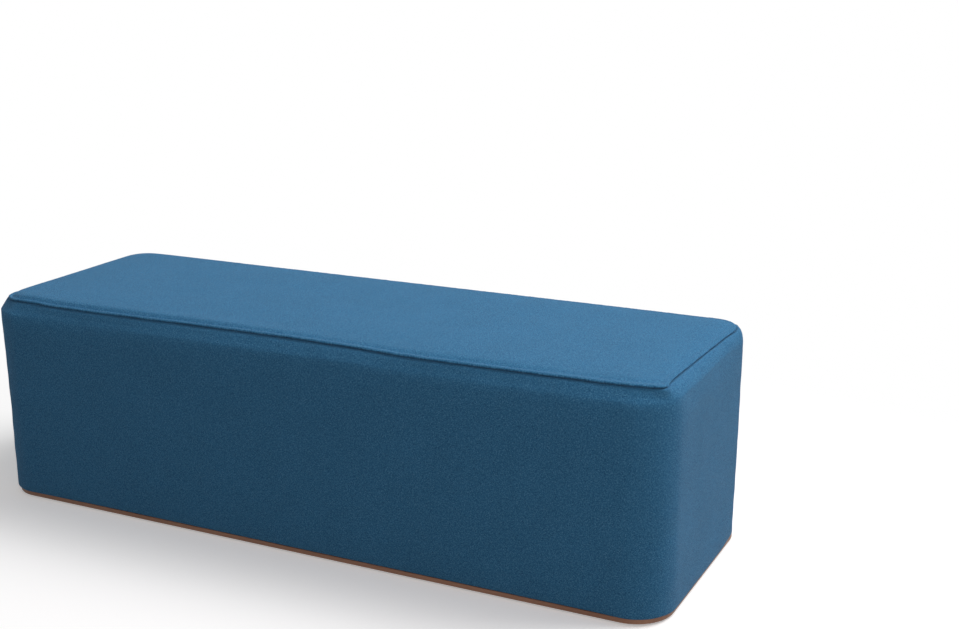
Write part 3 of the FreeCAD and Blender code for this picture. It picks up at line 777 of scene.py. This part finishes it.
# How far the shoulder is drawn in at a drop below the seam. Where it is flat: by
# the gap between its arc and its chord. Where it has the front's shape: from its
# arc to a line that falls from the front's own inset to none at its reach. With
# t = 1 - drop / reach that line is t + square root of (t^2 + softness^2), over
# what this is at the seam. The slow tail comes on top.
def shoulderShift(drop, place):
    arcs = arcInset(drop)
    flat = sum(share * bell(place - centre, band["flatWidth"]) for centre, share in band["flat"])
    chord = cover["seamInset"] * np.clip(1 - drop / (seamHeight - shoulderHeight), 0, 1)
    reach = follow(band["frontReach"], place) * mm
    left = 1 - drop / reach
    softness = band["frontSoftness"]
    front = seam["frontInset"] * (left + np.sqrt(left ** 2 + softness ** 2)) / (1 + math.hypot(1, softness))
    return flat * (chord - arcs) + follow(seam["front"], place) * (front - arcs) + slowTail(drop, place)


# Depth of the valley at a drop, roll included, times a bell of the distance from
# the seam, or, on the front, of the drop itself.
def valleyShape(drop, place):
    front = follow(seam["front"], place)
    plain = bell(cover["seamInset"] - arcInset(drop), band["valleyWidth"])
    steep = bell(drop, band["frontValley"])
    return (band["valleyDepth"] + rollFall(place)) * ((1 - front) * plain + front * steep)


# Lean of the side: it grows from below the shoulder down to the fold.
def sideLean(drop, place):
    return follow(band["lean"], place) * mm * ease(drop, band["leanStart"], seamHeight - hemHeight)


# A stretch of the band's section becomes rings that move with the seam, have its
# valley and the hanging fold, and then ripple, tuck and swell.
def shapeBand(section, drop, columns, moved, inner):
    drop = drop[:, None]
    place = columns["place"]
    depth = seamHeight - shoulderHeight
    insets = section[:, :1] + shoulderShift(drop, place) + sideLean(drop, place)
    grid = ringGrid(insets, section[:, 1:], columns)
    moveWithSeam(grid, columns, ease(-drop, -depth, 0), toFront=False)
    grid[:, :, 2] += seam["frontRise"] * follow(seam["front"], place) * np.clip(1 - drop / depth, 0, 1) ** 2
    grid[:, :, 2] -= valleyShape(drop, place)
    grid[:, :, 2] += hemFall(section[:, :1] + (band["hangLining"] if inner else 0), drop, place)
    normals = gridNormals(grid)
    shown = ease(drop, 0, band["reliefStart"]) * ease(seamHeight - hemHeight - drop, 0, band["reliefEnd"])
    relief = band["ripple"] * rippleField(place, drop * band["rippleSquash"], *band["rippleWaves"])
    puckers = rippleField(place, drop * band["puckerSquash"], *band["puckerWaves"])
    relief = relief + band["pucker"] * np.exp(-drop / band["puckerReach"]) * puckers
    for centre, strength in seam["tucks"]:
        tuck = bell(place - centre, seam["tuckWidth"] * (1 + drop / seam["tuckSpread"]))
        relief = relief + seam["tuckDepth"] * strength * tuck * np.exp(-drop / seam["tuckReach"])
    grid += normals * (relief * shown * (-1 if inner else 1))[:, :, None]
    if moved is not None:
        start = band["simulatedDrop"]
        rowNumber = (drop - start) / (seamHeight - start - hemHeight) * (moved.shape[0] - 1)
        columnNumber = (place + fullTurn / 2) / fullTurn * moved.shape[1]
        rowNumber, columnNumber = np.broadcast_arrays(rowNumber, columnNumber)
        grid += readField(moved, rowNumber, columnNumber, True)
    return grid


# One closed shell of three zones: fine rows below the seam, coarse ones further
# down, and the inside, which lies deeper by the fabric's thickness.
def makeBand():
    moved = simulateSide()
    outer, drop = bandSection()
    inner = insideOf(outer, cover["thickness"])
    along = runningLength(np.concatenate([outer, inner[::-1]]))
    boundary = int(np.argmax(drop > band["fineDepth"]))
    keep = np.unique(np.append(np.arange(0, len(inner), band["innerStep"]), len(inner) - 1))[::-1]
    zones = []
    for section, rows, lengths, columns in (
        (outer, slice(0, boundary), slice(0, boundary), fineColumns),
        (outer, slice(boundary, None), slice(boundary, len(outer)), coarseColumns),
        (inner, keep, 2 * len(outer) - 1 - keep, coarseColumns),
    ):
        grid = shapeBand(section[rows], drop[rows], columns, moved, section is inner)
        zones.append({"grid": grid, "columns": columns, "along": along[lengths]})
    piece = makeShell("side_band", zones, True)
    finishPiece(piece, "fabric", "cover_fabric", "side_cover", fill=0.9)


makeBand()

# Top panel: a crown that rises behind a topstitched welt, whose edge stands in
# the valley of the seam. Level and steep are sections of the crown, as distances
# in from the seam and heights over it, in millimetres. Steep is where the fabric
# is pressed in behind the lip, and foot is its share. The lip is given below its
# own crest.
panel = {
    "fineReach": 16 * mm,  # the fine zone reaches this far in from the seam
    "wideRows": (58 * mm, 14),  # distance and number of rows from the middle line on
    "closeRows": (52 * mm, 9),  # and of the closer ones that follow
    "zoneStep": 3 * mm,  # from the last of them to the fine zone
    "slopeEnd": 4.3 * mm,  # where the crown goes over to the lip
    "slopeRows": 11,
    "lipSteps": 2,
    "level": [(3.4, 1.5), (8, 1.75), (11, 1.9), (13, 2.3), (16, 3), (20, 3.95), (30, 5.8), (40, 7.05),
              (50, 7.75), (58, 8)],
    "steep": [(-1.5, 0.9), (2.2, 1.5), (4, 0.5), (6, -1.2), (8, 0.2), (10, 2.1), (12, 3.8), (14, 5),
              (16, 5.8), (19, 6.6), (23, 7.15), (28, 7.55), (36, 7.9), (46, 8), (58, 8)],
    "rounding": 1.2,  # half width of the mean over a section, in millimetres
    "foot": [(-1.8, 0.5), (-1.2, 0.8), (-0.75, 1), (-0.4, 1), (-0.28, 0.9), (-0.18, 0.8), (-0.08, 0.6),
             (0, 0.5), (0.1, 0.2), (0.22, 0.45), (0.42, 0.4), (0.5, 0.1), (0.74, 0), (0.8, 0.2),
             (1.06, 0.2), (1.2, 0.1), (1.5, 0.3), (1.8, 0.5)],
    "lip": [(3.4, 0), (2, -0.04), (1, -0.17), (0.3, -0.38), (-0.3, -0.7), (-0.8, -1.15),
            (-1.2, -1.7), (-1.45, -2.3), (-1.45, -3), (-1.2, -3.6), (-0.8, -4.05), (-0.3, -4.35),
            (0.1, -4.6), (0.2, -4.9)],
    "rollFrom": 7 * mm,  # how far in the roll begins
    "rollWhole": -1 * mm,  # and where it is whole
    "ripple": 0.16 * mm,
    "rippleWaves": (33, 0.05, 0.30),
    "rippleSquash": 1.3,
    "rippleStart": (6 * mm, 30 * mm),  # distances where ripples begin and are whole
    "swellStart": (6 * mm, 20 * mm),  # and the swelling
    "stitchLine": 6.5 * mm,
    "stitchPitch": 7 * mm,
    "stitchDimple": 0.30 * mm,
    "stitchWidth": 2.2 * mm,
    "lipDimple": 0.4,  # share of the dimples that shows on the lip
    "lipWidth": 2 * mm,  # their distance there, and their width
    "gather": 0.15 * mm,  # small folds along the lip
    "gatherLine": 4 * mm,
    "gatherWidth": 5 * mm,
    "gatherWaves": (51, 0.010, 0.040),
    "tuckDepth": 0.5 * mm,
    "tuckWidth": 3.5 * mm,
    "tuckReach": 4 * mm,
    "simulated": 14 * mm,
    "unevenness": 0.6 * mm,  # of the coarse seat before it swells
    "unevenWaves": (11, 0.15, 0.6),
    "heldWidth": 8 * mm,
    "pressure": 4,
    "cap": 3.2 * mm,
}
seatLength = halfLength - cover["seamInset"]  # half sizes inside the seam
seatWidth = halfWidth - cover["seamInset"]


# Height of one listed section at distances from the seam, its corners rounded
# off by a short running mean.
def readSection(points, distance):
    places, heights = np.array(points).T * mm
    offsets = np.linspace(-panel["rounding"], panel["rounding"], seam["readings"]) * mm
    return np.interp(distance[..., None] + offsets, places, heights).mean(axis=-1)


# Height of the crown over the seam: level and steep sections mixed by the foot's
# share at each place, less a roll towards the seam at the ends.
def crownHeight(distance, place):
    foot = follow(panel["foot"], place)
    roll = rollFall(place) * (1 - ease(distance, panel["rollWhole"], panel["rollFrom"]))
    level, steep = readSection(panel["level"], distance), readSection(panel["steep"], distance)
    return level * (1 - foot) + steep * foot - roll


# Swelling of the seat: a rectangle of cloth held along the seam.
def simulateSeat():
    countX = int(2 * seatLength / panel["simulated"]) + 1
    countY = int(2 * seatWidth / panel["simulated"]) + 1
    lineX = np.linspace(-seatLength, seatLength, countX)
    lineY = np.linspace(-seatWidth, seatWidth, countY)
    x, y = np.meshgrid(lineX, lineY)
    radius = cover["cornerRadius"] - cover["seamInset"]
    outX = np.maximum(np.abs(x) - (seatLength - radius), 0)
    outY = np.maximum(np.abs(y) - (seatWidth - radius), 0)
    toEdge = np.minimum(seatLength - np.abs(x), seatWidth - np.abs(y))
    toSeam = np.minimum(toEdge, radius - np.hypot(outX, outY))
    waves = rippleField(x, y, *panel["unevenWaves"])
    z = readSection(panel["level"], np.maximum(toSeam, 0)) + panel["unevenness"] * waves
    grid = np.stack([x, y, z], axis=2)
    row, column = np.meshgrid(np.arange(countY - 1), np.arange(countX - 1), indexing="ij")
    first = (row * countX + column).ravel()
    faces = np.stack([first, first + 1, first + countX + 1, first + countX], axis=1)
    moved = swell(grid, faces, toSeam < panel["heldWidth"], panel["pressure"], panel["cap"])
    print(f"seat swollen by up to {moved[:, :, 2].max() / mm:.2f} mm")
    return moved[:, :, 2]


# Height that the crown gains at a distance from the seam: ripples and swelling.
def crownChange(x, y, inward, moved):
    waves = rippleField(x, y * panel["rippleSquash"], *panel["rippleWaves"])
    change = panel["ripple"] * waves * ease(inward, *panel["rippleStart"])
    if moved is not None:
        rowNumber = (y / seatWidth + 1) / 2 * (moved.shape[0] - 1)
        columnNumber = (x / seatLength + 1) / 2 * (moved.shape[1] - 1)
        swollen = readField(moved, rowNumber, columnNumber, False)
        change = change + swollen * ease(inward, *panel["swellStart"])
    return change


# A section of the panel, given by distances in from the seam and heights over
# the crown's surface, becomes rings that move with the seam and swell.
def shapePanel(section, columns, moved, dimpled):
    distance = np.minimum(section[:, :1], seatWidth)
    insets = cover["seamInset"] + distance
    place = columns["place"]
    grid = ringGrid(insets, seamHeight + crownHeight(distance, place) + section[:, 1:], columns)
    moveWithSeam(grid, columns, moveShare(insets))
    grid[:, :, 2] += crownChange(grid[:, :, 0], grid[:, :, 1], distance, moved)
    if dimpled:
        wave = np.cos(math.tau * place / panel["stitchPitch"])
        onLip = panel["lipDimple"] * bell(distance - panel["lipWidth"], panel["lipWidth"])
        puff = bell(distance - panel["stitchLine"], panel["stitchWidth"]) + onLip
        grid[:, :, 2] += panel["stitchDimple"] * wave * puff
        gather = rippleField(place, 0 * distance, *panel["gatherWaves"])
        grid[:, :, 2] += panel["gather"] * gather * bell(distance - panel["gatherLine"], panel["gatherWidth"])
        for centre, strength in seam["tucks"]:
            tuck = panel["tuckDepth"] * abs(strength) * bell(place - centre, panel["tuckWidth"])
            grid[:, :, 2] -= tuck * bell(distance, panel["tuckReach"])
    return grid


# Piece of the top: one shell, whose grids run from the seat's middle line out and
# back under it.
def makeFlat(name, grids, *finish, fill):
    piece = makeShell(name, [{"grid": grid} for grid in grids], False, flatUv=True, weld=True)
    finishPiece(piece, *finish, fill=fill)


# Distances in from the seam, from the seat's middle line outwards: wide rows, as
# the distance of the last and their number, then close rows, as the distances of
# the first and the last and their number.
def rowDistances(wideRows, closeRows):
    return np.concatenate([np.linspace(seatWidth, *wideRows), np.linspace(*closeRows)])


# One shell of three zones: the crown in coarse rings, the slope behind the lip
# and the lip in fine ones, and the underside.
def makePanel():
    moved = simulateSeat()
    closeStart, closeCount = panel["closeRows"]
    closeEnd = panel["fineReach"] + panel["zoneStep"]
    distance = rowDistances(panel["wideRows"], (closeStart, closeEnd, closeCount))
    slope = np.linspace(panel["fineReach"], panel["slopeEnd"], panel["slopeRows"])
    lipLine = smoothLine(np.array(panel["lip"]) * mm, panel["lipSteps"])
    lip = np.concatenate([pairs(slope, 0), lipLine])
    crest = readSection(panel["level"], lip[:, 0])
    inside = insideOf(lip + pairs(0, crest), cover["thickness"])[::-2]
    inside[:, 1] -= readSection(panel["level"], inside[:, 0])
    under = distance[::-2].copy()
    under[-1] = seatWidth
    upper = pairs(distance, 0)
    lower = np.concatenate([inside, pairs(under, -cover["thickness"])])
    grids = [
        shapePanel(upper, coarseColumns, moved, False),
        shapePanel(lip, fineColumns, moved, True),
        shapePanel(lower, coarseColumns, moved, False),
    ]
    makeFlat("seat_panel", grids, "fabric", "cover_fabric", "top_cover", fill=0.9)
    return moved


seatSwelling = makePanel()

# Topstitches: short rounded threads in the groove behind the welt, that dive in
# at both ends.
stitches = {
    "spacing": 2 * mm,  # of the readings of the line they follow
    "radius": 0.42 * mm,
    "length": 4.6 * mm,
    "sides": 6,
    "rings": 7,
    "arch": 1.7,  # height of the arch over its ends, in radii
    "sunk": 0.9,  # how deep the ends lie, in radii
    "endGirth": 0.2,  # thickness left at the ends, as a share
}


# The stitches follow the panel's own surface. Each is a row of rings: its height
# is a half wave over its length, and its girth the root of 1 - (2 * share)^4,
# but never less than the end's.
def makeStitches():
    columns = makeColumns(stitches["spacing"])
    loop = shapePanel(np.array([(panel["stitchLine"], 0)]), columns, seatSwelling, False)[0]
    closed = np.concatenate([loop, loop[:1]])
    lengths = runningLength(closed)
    count = int(lengths[-1] // panel["stitchPitch"])
    pitch = lengths[-1] / count
    share = np.linspace(-0.5, 0.5, stitches["rings"])
    places = (np.arange(count) + 0.5)[:, None] * pitch + share * stitches["length"]
    centres = np.stack([np.interp(places, lengths, closed[:, axis]) for axis in range(3)], axis=2)
    arch = stitches["arch"] * np.cos(share * math.pi) - stitches["sunk"]
    centres[:, :, 2] += stitches["radius"] * arch
    tangents = unit(np.gradient(centres, axis=1))
    sideways = unit(np.cross(tangents, (0, 0, 1)))
    upward = np.cross(sideways, tangents)
    girth = stitches["radius"] * np.maximum(np.sqrt(1 - (2 * share) ** 4), stitches["endGirth"])
    turn = np.arange(stitches["sides"]) * math.tau / stitches["sides"]
    ring = sideways[:, :, None] * np.cos(turn)[:, None] + upward[:, :, None] * np.sin(turn)[:, None]
    points = centres[:, :, None] + ring * girth[:, None, None]
    rows, sides = stitches["rings"], stitches["sides"]
    starts = (np.arange(count) * rows * sides)[:, None, None]
    quads = np.stack([r * sides + c % sides for _, r, c in zoneQuads(rows, sides)], axis=1)
    lastCap = np.arange(sides)[None, ::-1] + (rows - 1) * sides
    caps = np.concatenate([np.arange(sides)[None], lastCap])
    polygons = [(starts + quads).reshape(-1, 4), (starts + caps).reshape(-1, sides)]
    piece = makePiece("seam_stitches", points, polygons)
    finishPiece(piece, "thread", "thread", "seam_thread")


makeStitches()

# Filling under the cover: a wadding sheet, the seat slab and the side wrap,
# each a little uneven, as cut foam is.
filling = {
    "spacing": 9 * mm,
    "gap": 1.2 * mm,  # over and under the wadding
    "coverGap": 3.4 * mm,  # from the cover's outside to the foam, at the sides
    "boxGap": 0.3 * mm,  # between the foams and to the box
    "wideRows": (60 * mm, 8),
    "closeStart": 52 * mm,
    "waddingRows": 8,
    "waddingInset": 1.5 * mm,  # of its edge, from the solid one's
    "waddingThickness": 4 * mm,
    "waddingEdge": [(0, 0.8), (-0.8, 2.4), (0, 3.6)],  # inwards and down, in millimetres
    "seatRows": 7,
    "seatEdge": 16 * mm,  # where the slab's top ends, in from the seam
    "rebate": [(28, 8.8), (15, 9.8)],  # under the seam: insets and drops, in millimetres
    "foot": [(0, 3), (1.5, 0.4)],  # of the slab: inwards and up from the deck, in millimetres
    "footInset": 8 * mm,
    "topRows": (3.5, 0.5),  # rows past and before the top's last where its moves fade
    "shoulderStart": 40,  # degrees of its shoulder's arc
    "leastDrop": 6 * mm,
    "edgeFade": (60 * mm, 45 * mm),  # insets where the slab's moves begin and are whole
    "chamfer": (3.2 * mm, 12 * mm),  # width and height, of the side foam's upper edge
    "chamferFoot": 0.4 * mm,
    "lowerChamfer": 2 * mm,
    "innerStart": 6 * mm,  # from the upper and lower edge to the inner wall's rows
    "sideSteps": (4, 24, 4, 10),  # of its top, outside, bottom and inner wall
    "moveFade": (4 * mm, 12 * mm),  # from the inner wall, where its moves begin and are whole
    "waveFade": (4 * mm, 8 * mm),  # and its unevenness
    "seatWaves": (61, 0.03, 0.2),
    "sideWaves": (71, 0.04, 0.3),
    "ripple": 0.18 * mm,
}
fillingColumns = makeColumns(filling["spacing"])


# The wadding follows the panel's surface, a gap below it, with a blunt edge.
def makeWadding():
    start = halfLength - waddingHigh.x - cover["seamInset"] + filling["waddingInset"]
    closeRows = (filling["closeStart"], start + panel["zoneStep"], filling["waddingRows"])
    distance = rowDistances(filling["wideRows"], closeRows)
    top = -cover["thickness"] - filling["gap"]
    upper = pairs(distance, top)
    edge = np.array([(start + inwards * mm, top - down * mm) for inwards, down in filling["waddingEdge"]])
    lower = pairs(distance[::-1], top - filling["waddingThickness"])
    grid = shapePanel(np.concatenate([upper, edge, lower]), fillingColumns, seatSwelling, False)
    makeFlat("wadding_sheet", [grid], "wadding", "wadding", "top_wadding", fill=0.5)


# The slab's top lies under the wadding and moves with the seam, and its sides
# are drawn in with the shoulder. Each of these fades out towards the middle.
def makeSeatFoam():
    depth = cover["thickness"] + 2 * filling["gap"] + filling["waddingThickness"]
    closeRows = (filling["closeStart"], filling["seatEdge"], filling["seatRows"])
    distance = rowDistances(filling["wideRows"], closeRows)
    upper = pairs(cover["seamInset"] + distance, seamHeight - depth)
    rebate = line(*[(inset * mm, seamHeight - drop * mm) for inset, drop in filling["rebate"]], 4)
    radius = cover["shoulderRadius"] - filling["coverGap"]
    shoulder = arc((cover["shoulderRadius"], shoulderHeight), radius, filling["shoulderStart"], 0, 11)
    deck = wrapHigh.z
    edge = filling["coverGap"]
    foot = np.array([(edge + inwards * mm, deck + up * mm) for inwards, up in filling["foot"]])
    under = deck + filling["boxGap"]
    bottom = line((edge + filling["footInset"], under), (halfWidth, under), 12)
    section = np.concatenate([upper, rebate, shoulder, foot, bottom])
    place = fillingColumns["place"]
    rows = np.arange(len(section))[:, None]
    insets = section[:, :1]
    inward = np.maximum(insets - cover["seamInset"], 0)
    heights = section[:, 1:] + crownHeight(inward, place) * (rows < len(upper))
    past, before = filling["topRows"]
    onTop = ease(rows, len(upper) + past, len(upper) - before)
    drop = np.maximum(seamHeight - heights, filling["leastDrop"])
    begins, whole = filling["edgeFade"]
    nearEdge = ease(-insets, -begins, -whole)
    grid = ringGrid(insets + shoulderShift(drop, place) * (1 - onTop) * nearEdge, heights, fillingColumns)
    moveWithSeam(grid, fillingColumns, moveShare(insets) * onTop)
    below = ease(-drop, shoulderHeight - seamHeight, -filling["leastDrop"]) * (1 - onTop)
    moveWithSeam(grid, fillingColumns, below, toFront=False)
    x, y = grid[:, :, 0], grid[:, :, 1]
    grid[:, :, 2] += crownChange(x, y, inward, seatSwelling) * onTop
    waves = rippleField(x + grid[:, :, 2], y, *filling["seatWaves"])
    relief = -abs(filling["ripple"] * waves) * nearEdge
    grid += gridNormals(grid) * relief[:, :, None]
    makeFlat("seat_foam_slab", [grid], "foam", "foam", "top_foam", fill=0.9)


# A closed ring with a plain inner wall. Its outside follows the side's lean and
# slow tail, but only inwards, so that it stays behind the cover.
def makeSideFoam():
    top, bottom = wrapHigh.z - filling["boxGap"], wrapLow.z + filling["boxGap"]
    outer = filling["coverGap"]
    inner = halfWidth + frontPanelLow.y - filling["boxGap"]
    width, height = filling["chamfer"]
    lower = filling["lowerChamfer"]
    start = filling["innerStart"]
    steps = filling["sideSteps"]
    outerTop = (outer + filling["chamferFoot"], top - height)
    section = np.concatenate([
        line((inner, top), (outer + width, top), steps[0]),
        line(outerTop, (outer + cover["taper"], bottom + lower), steps[1]),
        line((outer + cover["taper"] + lower, bottom), (inner, bottom), steps[2]),
        line((inner, bottom + start), (inner, top - start), steps[3]),
    ])
    insets, heights = section[:, :1], section[:, 1:]
    place = fillingColumns["place"]
    drop = seamHeight - heights
    inwards = np.maximum(sideLean(drop, place), 0) + slowTail(drop, place)
    begins, whole = filling["moveFade"]
    grid = ringGrid(insets + inwards * ease(-insets, begins - inner, whole - inner), heights, fillingColumns)
    relief = -abs(filling["ripple"] * rippleField(place, heights, *filling["sideWaves"]))
    begins, whole = filling["waveFade"]
    onOuter = ease(-insets, begins - inner, whole - inner)
    grid[:, :, 0] += relief * onOuter * fillingColumns["normalX"]
    grid[:, :, 1] += relief * onOuter * fillingColumns["normalY"]
    zone = {"grid": grid, "columns": fillingColumns, "along": runningLength(section)}
    piece = makeShell("side_foam_wrap", [zone], True)
    finishPiece(piece, "foam", "foam", "side_foam", fill=0.9)


makeWadding()
makeSeatFoam()
makeSideFoam()

# Finish of the pieces that keep their solid
solidFinishes = {
    "longPly": ["front_panel", "back_panel"],
    "crossPly": ["left_end_panel", "right_end_panel", "left_rib", "middle_rib", "right_rib"],
    "deckPly": ["deck_board"],
    "timber": [f"corner_post_{side}_{end}" for side in ("front", "back") for end in ("left", "right")],
    "board": ["base_board"],
    "steel": ["frame_screws", "deck_screws", "base_screws", "glide_nails", "cover_staples"],
    "plastic": [f"glide_{number}" for number in range(1, 7)],
}
for material, names in solidFinishes.items():
    for name in names:
        nodes[name].data.materials.clear()
        nodes[name].data.materials.append(materials[material])
print("solid pieces finished:", sum(len(names) for names in solidFinishes.values()))

# Studio: pale floor that turns plain white away from the pouf, white
# surroundings for the camera, a large soft lamp high up on the right, behind,
# and a weak warm one low on the right, in front.
studio = {
    "floorHalf": 9.0,
    "floorSeen": 0.90,
    "floorGlow": 0.30,
    "floorBounce": 0.16,
    "floorSquash": (0.55, 1, 1),
    "whiteFrom": 0.45,
    "whiteBy": 1.15,
    "sky": 0.27,
    "keyPower": 306,
    "keyPlace": (3.04, 2.13, 5.46),
    "keySize": 3.5,
    "fillPower": 22.5,
    "fillColor": (1.0, 0.74, 0.68),
    "fillPlace": (2.2, -2.6, 1.1),
    "fillSize": 1.6,
    "lampAim": (0, 0, 0.25),
}


# 1 for rays that show something to the camera, also in a gloss or through glass,
# and 0 for those that only bring light.
def seenRays(tree):
    path = addNode(tree, "ShaderNodeLightPath")
    seen = compute(tree, "MAXIMUM", path.outputs["Is Camera Ray"], path.outputs["Is Glossy Ray"])
    return compute(tree, "MAXIMUM", seen, path.outputs["Is Transmission Ray"])


# The floor bounces a modest grey. Seen by the camera or in a gloss it is paler
# and glows, and is fully white from 1.15 m out, at the ends 2.1 m, so that only
# the pouf's shadow shows on it.
def makeFloor():
    half = studio["floorHalf"]
    corners = np.array([(-half, -half, 0), (half, -half, 0), (half, half, 0), (-half, half, 0)], dtype=float)
    floor = makePiece("floor", corners, [np.array([[0, 1, 2, 3]])])
    material, tree, shader = newMaterial("pale_floor")
    seen = seenRays(tree)
    place = stretched(tree, objectPlace(tree), studio["floorSquash"])
    length = addNode(tree, "ShaderNodeVectorMath", {0: place}, operation="LENGTH").outputs["Value"]
    limits = {"Value": length, "From Min": studio["whiteFrom"], "From Max": studio["whiteBy"]}
    far = addNode(tree, "ShaderNodeMapRange", limits, interpolation_type="SMOOTHSTEP").outputs[0]
    glow = compute(tree, "MULTIPLY_ADD", far, 1 - studio["floorGlow"], studio["floorGlow"])
    kept = compute(tree, "MULTIPLY", compute(tree, "SUBTRACT", 1, far), studio["floorSeen"])
    paler = compute(tree, "SUBTRACT", kept, studio["floorBounce"])
    tone = compute(tree, "MULTIPLY_ADD", seen, paler, studio["floorBounce"])
    setInputs(tree, shader, {
        "Base Color": joinVector(tree, tone, tone, tone),
        "Emission Color": (1, 1, 1, 1),
        "Emission Strength": compute(tree, "MULTIPLY", seen, glow),
        "Roughness": 1,
        "Specular IOR Level": 0,
    })
    floor.data.materials.append(material)


# The sky is white at full strength for the camera, and dimmer for the pouf.
def makeSky():
    world = bpy.data.worlds.new("studio")
    bpy.context.scene.world = world
    world.use_nodes = True
    tree = world.node_tree
    strength = compute(tree, "MULTIPLY_ADD", seenRays(tree), 1 - studio["sky"], studio["sky"])
    setInputs(tree, tree.nodes["Background"], {"Color": (1, 1, 1, 1), "Strength": strength})


def makeLamp(name, place, size, power, color=(1, 1, 1)):
    light = bpy.data.lights.new(name, "AREA")
    light.size = size
    light.energy = power
    light.color = color
    lamp = bpy.data.objects.new(name, light)
    lamp.location = place
    lamp.rotation_euler = (Vector(studio["lampAim"]) - Vector(place)).to_track_quat("-Z", "Y").to_euler()
    bpy.context.scene.collection.objects.link(lamp)


makeFloor()
makeSky()
makeLamp("key_lamp", studio["keyPlace"], studio["keySize"], studio["keyPower"])
makeLamp("fill_lamp", studio["fillPlace"], studio["fillSize"], studio["fillPower"], studio["fillColor"])

# Camera: its place and turn were fitted to the outline and the seam.
camera = {
    "imageWidth": 959,
    "focalPixels": 1428,
    "sensorWidth": 36,
    "azimuth": 26.45,
    "elevation": 15.52,
    "roll": -0.52,
    "distance": 2.731,
    "aimHeight": 0.2,
    "sideStep": 0.2335,
    "upStep": 0.1852,
}


# The camera backs away from the aim point along its line of sight, then steps
# sideways and up in its own picture plane.
def makeCamera():
    azimuth, elevation, roll = (math.radians(camera[key]) for key in ("azimuth", "elevation", "roll"))
    backward = Vector((
        math.sin(azimuth) * math.cos(elevation),
        -math.cos(azimuth) * math.cos(elevation),
        math.sin(elevation),
    ))
    level = Vector((math.cos(azimuth), math.sin(azimuth), 0))
    upright = backward.cross(level)
    rightward = level * math.cos(roll) + upright * math.sin(roll)
    upward = upright * math.cos(roll) - level * math.sin(roll)
    place = Vector((0, 0, camera["aimHeight"])) + backward * camera["distance"]
    place += rightward * camera["sideStep"] + upward * camera["upStep"]
    data = bpy.data.cameras.new("camera")
    data.sensor_width = camera["sensorWidth"]
    data.lens = camera["focalPixels"] * camera["sensorWidth"] / camera["imageWidth"]
    item = bpy.data.objects.new("camera", data)
    turn = Matrix((rightward, upward, backward)).transposed()
    item.matrix_world = Matrix.Translation(place) @ turn.to_4x4()
    bpy.context.scene.collection.objects.link(item)
    bpy.context.scene.camera = item


makeCamera()
bpy.context.scene.view_settings.view_transform = "Standard"
print("studio and camera made")
